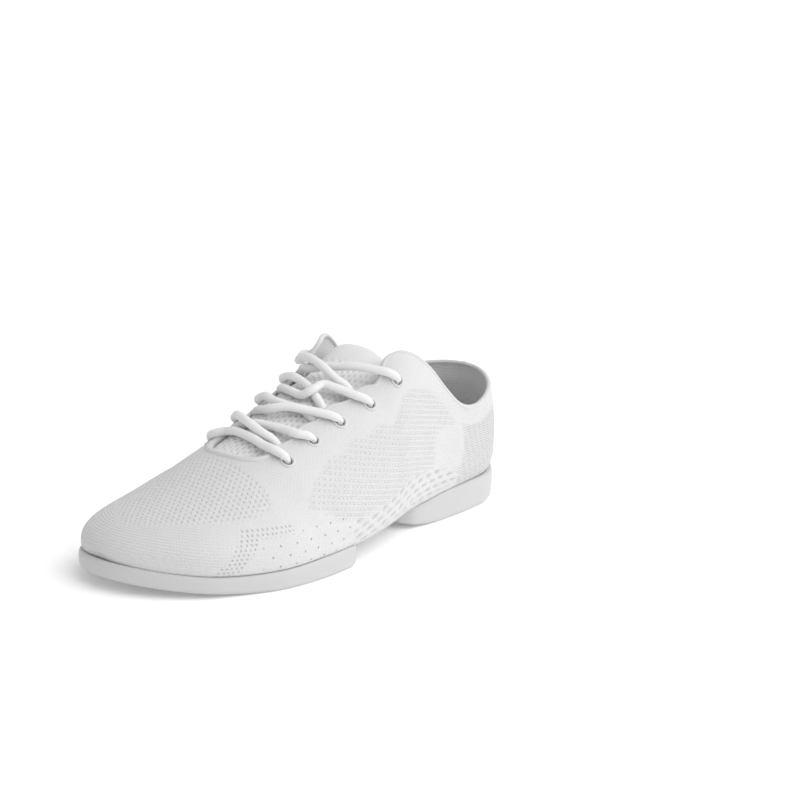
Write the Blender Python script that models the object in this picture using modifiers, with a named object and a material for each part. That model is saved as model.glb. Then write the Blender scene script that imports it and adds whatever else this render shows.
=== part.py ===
"""A left dance sneaker: a knit upper on a split rubber sole, laced over its tongue.

Metres, +Z up. The toe points to -Y and the outer side of the foot to +X, and the
shoe stands on z = 0. The tables are in millimetres, a row for each section, and
from_heel is the distance forwards from the back of the upper.
"""

import math

import bmesh
import bpy
import numpy as np
from mathutils import Vector

MM = 0.001
LENGTH = 251.0  # of the upper, heel to toe
HEEL_ROUND = 30.0  # how far from the back the plan is still widening
TOE_ROUND = 30.0
TOE_DROP = 18.0  # how far from the tip the toe is still rising
UNDER_ROUND = 11.0  # the same for the underside, at both ends
HEEL_LEAN = 7.0  # how far the back of the collar leans forwards
COLLAR_RISE = 35.0  # of the collar's back over the belt
WALL = 2.2
GAP = 0.3  # left between pieces that meet
ORIGIN = (0.9, 0.9, 0.0)  # the middle of the shoe's box, where the sections' own zero is

# The last, as sections across the foot: where the middle of each lies, half its
# width at the belt (its widest line), the heights of its underside, belt and
# ridge, how far the underside tips down to the outer side, and how square it is.
LAST_COLUMNS = (
    "from_heel", "middle", "half", "under", "tip", "belt", "ridge", "ridge_side",
    "low_square", "outer_square", "inner_square",
)
LAST = (
    (0, 0.0, 27.0, 10.5, 0.0, 32.0, 96.0, 0.0, 3.2, 2.6, 2.6),
    (20, 0.0, 30.5, 10.0, 0.0, 31.0, 102.0, 0.0, 3.2, 2.7, 2.7),
    (45, 0.5, 33.0, 9.5, 0.3, 29.0, 108.0, -0.5, 3.2, 2.8, 2.8),
    (70, 1.5, 33.5, 8.5, 0.6, 28.0, 111.0, -1.0, 3.2, 2.8, 2.8),
    (95, 3.5, 35.0, 8.0, 1.0, 27.0, 105.0, 0.0, 3.3, 2.7, 2.6),
    (120, 5.5, 38.5, 8.5, 2.0, 24.0, 85.5, -0.5, 3.8, 2.2, 2.0),
    (145, 5.0, 41.5, 7.5, 1.2, 20.0, 72.8, -0.5, 4.4, 1.95, 1.75),
    (170, 3.0, 44.0, 6.5, 0.0, 17.5, 60.5, -1.0, 4.6, 1.9, 1.7),
    (195, 0.0, 44.5, 6.0, 0.0, 16.0, 47.5, -2.5, 4.4, 1.95, 1.8),
    (220, -5.0, 39.5, 6.5, 0.0, 16.0, 35.5, -6.0, 4.0, 1.95, 1.9),
    (238, -9.5, 32.5, 8.0, 0.0, 16.5, 28.5, -9.5, 3.6, 2.0, 2.0),
    (251, -12.5, 27.0, 10.5, 0.0, 17.0, 25.5, -12.5, 3.4, 2.0, 2.0),
)
# The throat's edges, as distances to each side of the ridge.
THROAT_COLUMNS = ("from_heel", "outer", "inner")
THROAT = (
    (95, 29.5, 20.5),
    (110, 28.5, 18.5),
    (125, 25.0, 17.0),
    (142, 21.4, 16.0),
    (160, 19.8, 15.0),
    (190, 19.0, 14.5),
)
THROAT_FRONT = 188.5
THROAT_ROUND = 12.0
# The collar's edge, as heights on each side.
COLLAR = (
    (0, 66.0, 66.0),
    (20, 60.0, 62.0),
    (40, 55.0, 58.0),
    (55, 58.0, 60.5),
    (70, 69.0, 70.0),
    (82, 80.5, 81.0),
    (94, 88.5, 88.5),
    (106, 90.0, 89.5),
    (125, 84.0, 85.0),
)
PEAK = (96.0, 118.0)  # between these the collar's edge runs into the throat's
HALF_COLUMNS = 14
# The eyelets' rows, and how far each is over the surface from the throat's edge,
# on the outer side and the inner side.
EYELETS = (
    (174.8, 8.2, 7.0),
    (158.5, 8.0, 7.0),
    (142.0, 8.4, 7.0),
    (124.0, 7.8, 7.0),
    (106.5, 11.0, 9.0),
)
EYELET_RADIUS = 2.4
CORD_RADIUS = 1.9

# The soles' rims: their heights on each side, how far they stand out from the
# upper, and how far the lower edge lies inside the rim on the outer side.
RIM_COLUMNS = ("from_heel", "outer", "inner", "out", "inset")
RIM = (
    (0, 15.5, 15.5, 3.4, 3.5),
    (20, 15.5, 16.0, 3.0, 2.0),
    (45, 15.5, 16.0, 2.0, 1.0),
    (65, 14.5, 15.0, 1.5, 1.0),
    (82, 12.0, 13.0, 1.5, 1.0),
    (100, 9.5, 11.0, 1.5, 1.0),
    (145, 10.5, 12.0, 1.6, -0.9),
    (165, 10.2, 12.0, 1.5, 0.4),
    (190, 9.2, 10.5, 1.5, 2.0),
    (220, 9.4, 10.0, 1.5, 3.0),
    (240, 11.5, 11.5, 1.5, 3.0),
    (251, 13.5, 13.5, 1.5, 3.0),
)
SPRING = (195.0, 251.0, 6.0)  # the forefoot rises from here, to here, by this
HEEL_LIP = (62.0, 98.0, 5.0)  # and the front of the heel
HEEL_LIFT = (14.0, -2.0, 4.0)  # and its back
FOREFOOT_REAR = (147.0, 160.0)  # the rear edge's outer and inner ends
HEEL_FRONT = (86.0, 98.0)  # the front edge's ends and its middle
FLAT = 0.58  # of each sole's reach lies flat on the floor
INNER_INSET = 9.0  # of the lower edge, on the inner side
REAR_CORNER = (3.0, 8.0)
TREAD_RINGS = (12.0, 17.5)
HEEL_RINGS = (13.0, 18.5)
DIMPLE_RADIUS = 4.5
DIMPLE_DEPTH = 1.6
GROOVE = 1.0
GROOVE_DEPTH = 1.6
FOREFOOT_HUB = (-5.0, 200.0)
HEEL_HUB = (1.0, 44.0)

MARGIN = 10.0  # of the upper, folded in over the soles
INSOLE = 3.0
INSOLE_ENDS = (9.0, 241.0)
INSOLE_ROUND = 24.0  # the length of its rounded ends
INSOLE_FIT = 0.86  # of the last's half width
INSOLE_LIFT = 0.7  # over the upper's inner face
STRIP_MIDDLE = 2.5
STRIP_HALF = 6.5
STRIP_GAP = 0.5  # from each sole
STRIP = 1.5
TONGUE_ENDS = (200.0, 97.0)
TONGUE_HALF = (16.0, 26.0)
TONGUE_DROP = 7.5  # below the ridge
TONGUE_SETTLE = 8.0  # more at its top
TONGUE = 3.0
TONGUE_TIP = 0.35  # of its width that its straight top edge takes
TONGUE_ROUND = 0.12  # of its length, over which the top's corners are rounded
BAR_LIFT = 1.0  # how far the front bar arches up between the throat's edges
CROSS_LIFT = 1.5  # and the lower cord of each crossing
OVER_LIFT = 3.4  # of the upper cord over the lower one, into which it sinks a little


def smooth(table, columns, name, s):
    """A column of the table, eased between its rows."""
    rows = np.array(table)
    x = rows[:, 0]
    y = rows[:, columns.index(name)]
    slope = np.gradient(y, x)
    i = np.clip(np.searchsorted(x, s, side="right") - 1, 0, len(x) - 2)
    step = x[i + 1] - x[i]
    t = (s - x[i]) / step
    ends = y[i] * (1 + 2 * t) * (1 - t) ** 2 + y[i + 1] * t * t * (3 - 2 * t)
    return ends + step * t * (1 - t) * (slope[i] * (1 - t) - slope[i + 1] * t)


def cap(t, power=2.0):
    """From 0 at an end to 1, along a rounded end."""
    t = np.clip(t, 0.0, 1.0)
    return (1 - (1 - t) ** power) ** (1 / power)


def ease(t):
    t = np.clip(t, 0.0, 1.0)
    return t * t * (3 - 2 * t)


def last(name, s):
    return smooth(LAST, LAST_COLUMNS, name, s)


def on_last(s, side, angle):
    """The last's surface: angle 0 is the middle of the underside, a quarter turn
    the belt and a half turn the ridge, on the outer side (1) or inner side (-1)."""
    s, side, angle = np.broadcast_arrays(np.asarray(s, float), side, angle)
    plan = cap(s / HEEL_ROUND, 2.2) * cap((LENGTH - s) / TOE_ROUND, 2.2)
    middle = last("middle", s)
    belt = last("belt", s)
    under = last("under", s)
    under = belt - (belt - under) * cap(s / UNDER_ROUND) * cap((LENGTH - s) / UNDER_ROUND)
    ridge = belt + (last("ridge", s) - belt) * cap((LENGTH - s) / TOE_DROP)
    half = side * last("half", s) * plan
    to_ridge = (last("ridge_side", s) - middle) * plan - half
    low = np.clip(angle, 0, math.pi / 2)
    out = np.sin(low) ** (2 / last("low_square", s))
    down = np.maximum(np.cos(low), 0) ** (2 / last("low_square", s))
    high = np.clip(angle - math.pi / 2, 0, math.pi / 2)
    square = np.where(side > 0, last("outer_square", s), last("inner_square", s))
    back = 1 - np.maximum(np.cos(high), 0) ** (2 / square)
    up = np.sin(high) ** (2 / square)
    tip = last("tip", s) * side * out * plan
    lean = HEEL_LEAN * (1 - ease(s / 70.0)) * (up * (ridge - belt) / COLLAR_RISE) ** 1.6
    x = middle + half * out + to_ridge * back
    z = belt - (belt - under + tip) * down + (ridge - belt) * up
    return np.stack([x, LENGTH / 2 - s - lean, z], axis=-1)


ANGLES = np.linspace(0, math.pi, 721)


def top_angle(s, side):
    """The angle at which the upper ends: at the throat, at the collar or, in front
    of the throat, at the ridge."""
    if s >= THROAT_FRONT:
        return math.pi
    name = "outer" if side > 0 else "inner"
    upper_half = ANGLES[360:]
    points = on_last(s, side, upper_half)
    across = np.abs(points[:, 0] - points[-1, 0])
    gap = smooth(THROAT, THROAT_COLUMNS, name, max(s, THROAT[0][0]))
    gap *= cap((THROAT_FRONT - s) / THROAT_ROUND, 2.4)
    throat = np.interp(-gap, -across, upper_half)
    height = smooth(COLLAR, THROAT_COLUMNS, name, min(s, COLLAR[-1][0]))
    collar = np.interp(height, points[:, 2], upper_half)
    mix = ease((s - PEAK[0]) / (PEAK[1] - PEAK[0]))
    return collar + (throat - collar) * mix


def half_section(s, side, columns, stop=None):
    """Evenly spaced points from the middle of the underside up to the top edge."""
    stop = top_angle(s, side) if stop is None else stop
    angles = np.linspace(0, stop, 361)
    points = on_last(s, side, angles)
    steps = np.linalg.norm(np.diff(points, axis=0), axis=1)
    along = np.concatenate([[0], np.cumsum(steps)])
    return on_last(s, side, np.interp(np.linspace(0, along[-1], columns + 1), along, angles))


def stations():
    """Distances from the heel, closer together at the heel, toe and throat."""
    turn = np.linspace(0, math.pi / 2, 7)
    heel = HEEL_ROUND * (1 - np.cos(turn))
    middle = np.linspace(HEEL_ROUND, THROAT_FRONT - THROAT_ROUND, 16)
    throat = THROAT_FRONT - THROAT_ROUND * (1 - np.sin(np.linspace(0, math.pi / 2, 4)))
    front = np.linspace(THROAT_FRONT, LENGTH - TOE_ROUND, 4)
    toe = LENGTH - TOE_ROUND * (1 - np.sin(turn))
    return np.unique(np.round(np.concatenate([heel, middle, throat, front, toe]), 3))


def sheet(points):
    """A grid primitive wrapped on points[row, column], its doubles merged."""
    rows, columns = points.shape[:2]
    bm = bmesh.new()
    bmesh.ops.create_grid(bm, x_segments=columns - 1, y_segments=rows - 1, size=1)
    bm.verts.ensure_lookup_table()
    for vert, place in zip(bm.verts, points.reshape(-1, 3)):
        vert.co = placed(place)
    bmesh.ops.remove_doubles(bm, verts=bm.verts, dist=0.01 * MM)
    return bm


def block(rings):
    """A closed solid through the rings, with a flat cap at each end."""
    bm = sheet(np.concatenate([rings, rings[:, :1]], axis=1))
    bmesh.ops.holes_fill(bm, edges=bm.edges, sides=0)
    bmesh.ops.triangulate(bm, faces=bm.faces)
    bmesh.ops.recalc_face_normals(bm, faces=bm.faces)
    return bm


def placed(point):
    """A point in metres, from the middle of the shoe's box."""
    return (np.asarray(point) - ORIGIN) * MM


def material(name, colour, roughness, metallic=0.0):
    made = bpy.data.materials.new(name)
    made.use_nodes = True
    shader = made.node_tree.nodes["Principled BSDF"]
    shader.inputs["Base Color"].default_value = (*colour, 1.0)
    shader.inputs["Roughness"].default_value = roughness
    shader.inputs["Metallic"].default_value = metallic
    return made


def add(name, bm, collection, surface=None):
    mesh = bpy.data.meshes.new(name)
    bm.to_mesh(mesh)
    bm.free()
    obj = bpy.data.objects.new(name, mesh)
    collection.objects.link(obj)
    if surface:
        mesh.materials.append(surface)
        mesh.shade_smooth()
        mesh.set_sharp_from_angle(angle=math.radians(40))
    else:
        obj.hide_render = True
        obj.display_type = "WIRE"
    return obj


def cut(obj, cutter, operation="DIFFERENCE"):
    boolean = obj.modifiers.new(cutter.name, "BOOLEAN")
    boolean.operation = operation
    boolean.object = cutter
    return boolean


def thicken(obj, thickness, offset=-1.0):
    solidify = obj.modifiers.new("Wall", "SOLIDIFY")
    solidify.thickness = thickness * MM
    solidify.offset = offset
    return solidify


def last_grid(rows, columns=HALF_COLUMNS, stop=None):
    """The last's surface as points[row, column], from the outer top edge under the
    foot to the inner top edge."""
    grid = []
    for s in rows:
        outer = half_section(s, 1, columns, stop)
        inner = half_section(s, -1, columns, stop)
        grid.append(np.concatenate([outer[::-1], inner[1:]]))
    return np.array(grid)


def under_foot(s, across):
    """The underside's point at a fraction across its half width, -1 to 1."""
    angle = np.arcsin(np.abs(across) ** (last("low_square", s) / 2))
    return on_last(s, np.where(across < 0, -1, 1), angle)


def at_ridge(s, distance):
    """The surface's point at a signed distance across from the ridge."""
    side = np.where(distance < 0, -1, 1)
    upper_half = ANGLES[360:]
    points = on_last(s, side, upper_half)
    across = np.abs(points[:, 0] - points[-1, 0])
    return on_last(s, side, np.interp(-abs(distance), -across, upper_half))


def rim_height(s, side):
    return smooth(RIM, RIM_COLUMNS, "outer" if side > 0 else "inner", s)


def rim_plan(s, side):
    """The upper's outline at a sole's rim, seen from above."""
    plan = cap(s / HEEL_ROUND, 2.2) * cap((LENGTH - s) / TOE_ROUND, 2.2)
    belt = last("belt", s)
    down = np.clip((belt - rim_height(s, side)) / (belt - last("under", s)), 0, 1)
    square = last("low_square", s)
    out = (1 - down ** square) ** (1 / square)
    return np.array([last("middle", s) + side * last("half", s) * plan * out, LENGTH / 2 - s])


def outward(plan):
    """Unit normals of a closed outline seen from above."""
    along = np.roll(plan, -1, axis=0) - np.roll(plan, 1, axis=0)
    ahead = np.roll(plan, -1, axis=0)
    area = np.sum(plan[:, 0] * ahead[:, 1] - ahead[:, 0] * plan[:, 1])
    normal = np.stack([along[:, 1], -along[:, 0]], axis=1) * np.sign(area)
    return normal / np.linalg.norm(normal, axis=1, keepdims=True)


def inside(plan, inset):
    return plan - outward(plan) * np.broadcast_to(inset, len(plan))[:, None]


def ground(s, lifts):
    """The height of a sole's underside: each lift runs from one place to another."""
    rise = [height * np.clip((s - start) / (end - start), 0, 1) ** 2 for start, end, height in lifts]
    return sum(rise)


def end_rows(start, end, reach):
    """Distances from the heel, from a sole's inner end out to its round end."""
    turn = end - reach * np.sign(end - start) * (1 - np.sin(np.linspace(0, math.pi / 2, 7)))
    straight = np.linspace(start, turn[0], max(3, int(abs(turn[0] - start) / 11.0)))
    return np.concatenate([straight[:-1], turn])


def side_plan(start, end, reach, side):
    """One side of a sole's outline, standing out from the upper."""
    rows = end_rows(start, end, reach)
    plan = np.array([rim_plan(s, side) for s in rows])
    along = np.gradient(plan, axis=0)
    normal = np.stack([along[:, 1], -along[:, 0]], axis=1) * -side * np.sign(end - start)
    normal /= np.linalg.norm(normal, axis=1, keepdims=True)
    normal[-1] = (0, -np.sign(end - start))
    return plan + normal * smooth(RIM, RIM_COLUMNS, "out", rows)[:, None]


def corner(before, tip, after, radius):
    """A rounded corner of an outline, as points."""
    start = tip + (before - tip) / np.linalg.norm(before - tip) * radius
    stop = tip + (after - tip) / np.linalg.norm(after - tip) * radius
    return [start * (1 - t) ** 2 + tip * 2 * t * (1 - t) + stop * t * t for t in np.linspace(0, 1, 5)]


def forefoot_plan():
    outer = side_plan(FOREFOOT_REAR[0], LENGTH, TOE_ROUND, 1)
    inner = side_plan(FOREFOOT_REAR[1], LENGTH, TOE_ROUND, -1)[::-1]
    across = [inner[-1] + (outer[0] - inner[-1]) * t for t in (0.3, 0.5, 0.7)]
    rear_inner = corner(inner[-2], inner[-1], outer[0], REAR_CORNER[1])
    rear_outer = corner(inner[-1], outer[0], outer[1], REAR_CORNER[0])
    return np.array([*outer[1:], *inner[1:-1], *rear_inner, *across, *rear_outer])


def heel_front(x):
    """The heel sole's curved front edge, as a distance from the heel."""
    half = last("half", HEEL_FRONT[0])
    t = np.clip((x - last("middle", HEEL_FRONT[0])) / half, -1, 1)
    return HEEL_FRONT[1] - (HEEL_FRONT[1] - HEEL_FRONT[0]) * t * t


def heel_plan():
    outer = side_plan(HEEL_FRONT[0], 0.0, HEEL_ROUND, 1)
    inner = side_plan(HEEL_FRONT[0], 0.0, HEEL_ROUND, -1)[::-1]
    across = np.linspace(inner[-1][0], outer[0][0], 11)[1:-1]
    front = [(x, LENGTH / 2 - heel_front(x)) for x in across]
    return np.array([*outer, *inner[1:], *front])


def forefoot_rear(x):
    """The forefoot sole's slanting rear edge, as a distance from the heel."""
    (x_inner, y_inner), (x_outer, y_outer) = (
        side_plan(FOREFOOT_REAR[i], LENGTH, TOE_ROUND, side)[0] for i, side in ((1, -1), (0, 1))
    )
    y = y_inner + (y_outer - y_inner) * (x - x_inner) / (x_outer - x_inner)
    return LENGTH / 2 - y


def sole_block(plan, lifts, end):
    """A sole before the upper's shape is cut from it. Its side stands on the
    outline, and its lower edge is rounded, or sloped on the inner side."""
    s = LENGTH / 2 - plan[:, 1]
    across = (plan[:, 0] - last("middle", s)) / last("half", s)
    inner = ease(0.5 - across * 0.9)
    rims = rim_height(s, 1) * (1 - inner) + rim_height(s, -1) * inner
    inner = inner * ease(np.abs(s - end) / 30.0)
    inset = smooth(RIM, RIM_COLUMNS, "inset", s)
    inset = inset + (INNER_INSET - inset) * inner
    slope = 1.2 + 2.6 * inner
    base = ground(s, lifts)
    centre = plan.mean(axis=0)
    edge = inside(plan, inset)
    flat = centre + (edge - centre) * FLAT
    between = centre + (edge - centre) * (FLAT + 1) / 2
    crown = centre + (plan - centre) * 0.88
    rings = [
        np.column_stack([flat, np.zeros(len(plan))]),
        np.column_stack([between, ground(LENGTH / 2 - between[:, 1], lifts)]),
    ]
    for step, height in (
        (inset, base),
        (inset * 0.3, base + slope * 0.5),
        (0.0, base + slope),
        (0.0, base + (rims - base) * 0.75),
        (0.5, rims),
    ):
        rings.append(np.column_stack([inside(plan, step), np.broadcast_to(height, len(plan))]))
    rings.append(np.column_stack([crown, rims + 3.0]))
    return block(np.array(rings))


def washer(hub, radius, half, depth):
    """A ring to cut a round groove with, or a disc where half is the radius."""
    x, s = hub
    profile = [(radius - half, -2), (radius + half, -2), (radius + half, depth), (radius - half, depth)]
    turn = np.linspace(0, 2 * math.pi, 25)
    rings = [
        [(x + r * math.cos(a), LENGTH / 2 - s + r * math.sin(a), z) for a in turn]
        for r, z in [*profile, profile[0]]
    ]
    bm = sheet(np.array(rings))
    bmesh.ops.recalc_face_normals(bm, faces=bm.faces)
    return bm


def disc(hub, radius, depth):
    x, s = hub
    turn = np.linspace(0, 2 * math.pi, 17)[:-1]
    rings = [
        [(x + r * math.cos(a), LENGTH / 2 - s + r * math.sin(a), z) for a in turn]
        for r, z in ((radius + 0.5, -2), (radius, 0), (radius * 0.6, depth))
    ]
    return block(np.array(rings))


def prism(plan, low, high):
    return block(np.array([np.column_stack([plan, np.full(len(plan), z)]) for z in (low, high)]))


def shrunk(plan, margin):
    """An outline brought in about its middle by about the margin."""
    centre = plan.mean(axis=0)
    reach = np.abs(plan - centre).max(axis=0)
    return centre + (plan - centre) * (1 - margin / reach)


def surface_frame(s, side, from_edge):
    """A point at a distance over the surface from the throat's edge, with the
    directions out of the surface and towards the throat."""
    stop = top_angle(s, side)
    angles = np.linspace(math.pi / 2, stop, 301)
    points = on_last(s, side, angles)
    steps = np.linalg.norm(np.diff(points, axis=0), axis=1)
    to_edge = np.concatenate([[0], np.cumsum(steps)])
    angle = np.interp(to_edge[-1] - from_edge, to_edge, angles)
    point = on_last(s, side, angle)
    up = on_last(s, side, angle + 0.01) - on_last(s, side, angle - 0.01)
    ahead = on_last(s + 0.5, side, angle) - on_last(s - 0.5, side, angle)
    out = np.cross(up, ahead) * side
    return point, out / np.linalg.norm(out), up / np.linalg.norm(up)


def eyelet(row, side):
    s, outer, inner = EYELETS[row]
    return s, side, outer if side > 0 else inner


def to_eyelet(row, side):
    """A cord's points from over the throat's edge to over an eyelet."""
    edge, edge_out, _ = surface_frame(EYELETS[row][0], side, 0.0)
    hole, out, up = surface_frame(*eyelet(row, side))
    over = CORD_RADIUS + 0.5
    return [edge + edge_out * over, hole + out * over + up * 3.5, hole + out * over - up * 0.5]


def from_edge(row, side):
    """A cord's first points, out from under the throat's edge behind a row."""
    s = EYELETS[row][0] - 5.5
    edge, out, up = surface_frame(s, side, 0.0)
    return [edge - out * 1.2 + up * 2.6, edge + out * 0.6 + up * 6.0]


def eased_route(points, per_span=2):
    """A smooth route through the points."""
    points = np.array(points)
    padded = np.concatenate([[2 * points[0] - points[1]], points, [2 * points[-1] - points[-2]]])
    route = []
    for a, b, c, d in zip(padded, padded[1:], padded[2:], padded[3:]):
        for t in np.arange(per_span) / per_span:
            route.append(
                0.5 * (2 * b + (c - a) * t + (2 * a - 5 * b + 4 * c - d) * t**2 + (3 * b - a - 3 * c + d) * t**3)
            )
    return [*route, points[-1]]


def cord(name, points, collection, surface):
    """A round cord along the points, as a closed mesh."""
    curve = bpy.data.curves.new(name, "CURVE")
    curve.dimensions = "3D"
    curve.bevel_depth = CORD_RADIUS * MM
    curve.bevel_resolution = 2
    curve.use_fill_caps = True
    route = eased_route(points)
    spline = curve.splines.new("POLY")
    spline.points.add(len(route) - 1)
    for knot, place in zip(spline.points, route):
        knot.co = (*placed(place), 1.0)
    guide = bpy.data.objects.new(name + "_route", curve)
    collection.objects.link(guide)
    graph = bpy.context.evaluated_depsgraph_get()
    bm = bmesh.new()
    bm.from_mesh(bpy.data.meshes.new_from_object(guide.evaluated_get(graph)))
    bpy.data.objects.remove(guide)
    bmesh.ops.remove_doubles(bm, verts=bm.verts, dist=0.001 * MM)
    return add(name, bm, collection, surface)


def lace_bar(parts, surface):
    outer = to_eyelet(0, 1)
    inner = to_eyelet(0, -1)
    middle = (outer[0] + inner[0]) / 2 + (0, 0, BAR_LIFT)
    return cord("lace_bar", [*outer[::-1], middle, *inner], parts, surface)


def lace_crossing(row, parts, cutters, surface):
    """The two cords that cross between one pair of eyelets and the next."""
    ends = {side: (from_edge(row - 1, -side), to_eyelet(row, side)) for side in (1, -1)}
    between = np.mean([point[0] for pair in ends.values() for point in pair], axis=0)
    cords = []
    for side, lift in ((1, CROSS_LIFT), (-1, CROSS_LIFT + OVER_LIFT)):
        start, finish = ends[side]
        middle = between + (0, 0, lift)
        name = f"lace_crossing_{row}" if side > 0 else f"lace_over_{row}"
        place = (parts, surface) if side > 0 else (cutters, None)
        cords.append(cord(name, [*start, middle, *finish], *place))
    cut(*cords, operation="UNION")


def upper_sheet():
    bm = sheet(last_grid(stations()))
    bmesh.ops.triangulate(bm, faces=bm.faces)
    bmesh.ops.recalc_face_normals(bm, faces=bm.faces)
    return bm


def grow(bm, distance):
    """Moves a surface out along its own normals."""
    bm.normal_update()
    for vert, normal in [(vert, vert.normal.copy()) for vert in bm.verts]:
        vert.co += normal * distance * MM


def last_body(name, grown, collection):
    """The upper's own outer form, grown and with a lid, to shape the soles."""
    bm = upper_sheet()
    grow(bm, grown)
    bmesh.ops.holes_fill(bm, edges=bm.edges, sides=0)
    bmesh.ops.triangulate(bm, faces=bm.faces)
    bmesh.ops.recalc_face_normals(bm, faces=bm.faces)
    return add(name, bm, collection)


def make_upper(parts, cutters, surface):
    upper = add("upper", upper_sheet(), parts, surface)
    thicken(upper, WALL)
    windows = (("forefoot", forefoot_plan(), 12.5), ("heel", heel_plan(), 16.0))
    for name, plan, high in windows:
        cut(upper, add(name + "_window", prism(shrunk(plan, MARGIN), -5.0, high), cutters))
    for row in range(len(EYELETS)):
        for side, word in ((1, "outer"), (-1, "inner")):
            point, out, _ = surface_frame(*eyelet(row, side))
            bm = bmesh.new()
            bmesh.ops.create_cone(
                bm, cap_ends=True, segments=14, radius1=EYELET_RADIUS * MM,
                radius2=EYELET_RADIUS * MM, depth=9.0 * MM,
            )
            punch = add(f"eyelet_{word}_{row}", bm, cutters)
            punch.location = placed(point)
            punch.rotation_euler = Vector(out).to_track_quat("Z", "Y").to_euler()
            cut(upper, punch)
    return upper


def make_sole(name, bm, grooves, body, parts, cutters, surface):
    sole = add(name, bm, parts, surface)
    cut(sole, body)
    for index, groove in enumerate(grooves):
        cut(sole, add(f"{name}_groove_{index}", groove, cutters))
    return sole


def make_strip(parts, surface):
    """The smooth strip that runs under the arch between the two soles."""
    rows = []
    for t in np.linspace(0, 1, 12):
        row = []
        for x in np.linspace(STRIP_MIDDLE - STRIP_HALF, STRIP_MIDDLE + STRIP_HALF, 5):
            rear = heel_front(x) + STRIP_GAP
            s = rear + t * (forefoot_rear(x) - STRIP_GAP - rear)
            point = under_foot(s, (x - last("middle", s)) / last("half", s))
            row.append(point - (0, 0, GAP))
        rows.append(row)
    bm = sheet(np.array(rows))
    face_up(bm)
    strip = add("arch_strip", bm, parts, surface)
    thicken(strip, STRIP)


def face_up(bm):
    """Turns an open sheet so that its faces look up."""
    bm.normal_update()
    down = [face for face in bm.faces if face.normal.z < 0]
    bmesh.ops.reverse_faces(bm, faces=down)


def make_insole(parts, surface):
    rows = []
    start, end = INSOLE_ENDS
    turn = INSOLE_ROUND * (1 - np.cos(np.linspace(0, math.pi / 2, 5)))
    middle = np.linspace(start + INSOLE_ROUND, end - INSOLE_ROUND, 12)[1:-1]
    for s in np.concatenate([start + turn, middle, end - turn[::-1]]):
        fit = INSOLE_FIT * cap((s - start) / INSOLE_ROUND) * cap((end - s) / INSOLE_ROUND)
        points = [under_foot(s, t * fit) for t in np.linspace(-1, 1, 9)]
        rows.append(points)
    bm = sheet(np.array(rows))
    face_up(bm)
    grow(bm, WALL + INSOLE_LIFT)
    insole = add("insole", bm, parts, surface)
    thicken(insole, INSOLE, offset=1.0)


def make_tongue(parts, surface):
    rows = []
    for s in np.linspace(*TONGUE_ENDS, 15):
        t = (s - TONGUE_ENDS[0]) / (TONGUE_ENDS[1] - TONGUE_ENDS[0])
        half = TONGUE_HALF[0] + (TONGUE_HALF[1] - TONGUE_HALF[0]) * t
        half *= TONGUE_TIP + (1 - TONGUE_TIP) * cap((1 - t) / TONGUE_ROUND, 2.2)
        drop = TONGUE_DROP + TONGUE_SETTLE * t**6
        rows.append([at_ridge(s, across * half) - (0, 0, drop) for across in np.linspace(-1, 1, 9)])
    bm = sheet(np.array(rows))
    face_up(bm)
    tongue = add("tongue", bm, parts, surface)
    thicken(tongue, TONGUE)


def main():
    for obj in list(bpy.data.objects):
        bpy.data.objects.remove(obj)
    parts = bpy.data.collections.new("dance_sneaker")
    cutters = bpy.data.collections.new("cutters")
    for collection in (parts, cutters):
        bpy.context.scene.collection.children.link(collection)
    knit = material("white_knit", (0.80, 0.80, 0.81), 0.85)
    rubber = material("white_rubber", (0.78, 0.78, 0.79), 0.55)
    lining = material("grey_lining", (0.62, 0.62, 0.64), 0.9)
    lace = material("white_cord", (0.84, 0.84, 0.85), 0.8)

    make_upper(parts, cutters, knit)
    body = last_body("outer_form", GAP, cutters)
    forefoot = sole_block(forefoot_plan(), (SPRING,), LENGTH)
    heel = sole_block(heel_plan(), (HEEL_LIP, HEEL_LIFT), 0.0)
    for name, bm, hub, rings in (
        ("forefoot_sole", forefoot, FOREFOOT_HUB, TREAD_RINGS),
        ("heel_sole", heel, HEEL_HUB, HEEL_RINGS),
    ):
        grooves = [washer(hub, radius, GROOVE / 2, GROOVE_DEPTH) for radius in rings]
        grooves.append(disc(hub, DIMPLE_RADIUS, DIMPLE_DEPTH))
        make_sole(name, bm, grooves, body, parts, cutters, rubber)
    make_strip(parts, rubber)
    make_insole(parts, lining)
    make_tongue(parts, knit)
    lace_bar(parts, lace)
    for row in range(1, len(EYELETS)):
        lace_crossing(row, parts, cutters, lace)


main()
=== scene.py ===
"""The finish of a left dance sneaker: knit upper, lining, tongue, lacing and split sole.

The tables are in millimetres, a row for each section, and from_heel is the distance
forwards from the back of the upper. The toe points to -Y and the outer side to +X.
"""

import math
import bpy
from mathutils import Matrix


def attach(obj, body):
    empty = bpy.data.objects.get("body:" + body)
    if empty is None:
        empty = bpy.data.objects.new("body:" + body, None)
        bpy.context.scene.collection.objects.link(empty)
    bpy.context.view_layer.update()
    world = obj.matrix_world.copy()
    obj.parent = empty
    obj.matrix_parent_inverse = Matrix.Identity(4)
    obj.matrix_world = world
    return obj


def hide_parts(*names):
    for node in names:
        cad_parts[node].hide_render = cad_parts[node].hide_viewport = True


bl_info = {
    "name": "Dance Sneaker",
    "version": (1, 0, 0),
    "blender": (4, 5, 0),
    "location": "3D View > Sidebar > Sneaker",
    "description": "Builds the knit, lining, soles and lacing of a dance sneaker",
    "category": "Object",
}

import bmesh
import bpy
import numpy as np
from mathutils import Matrix

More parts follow.
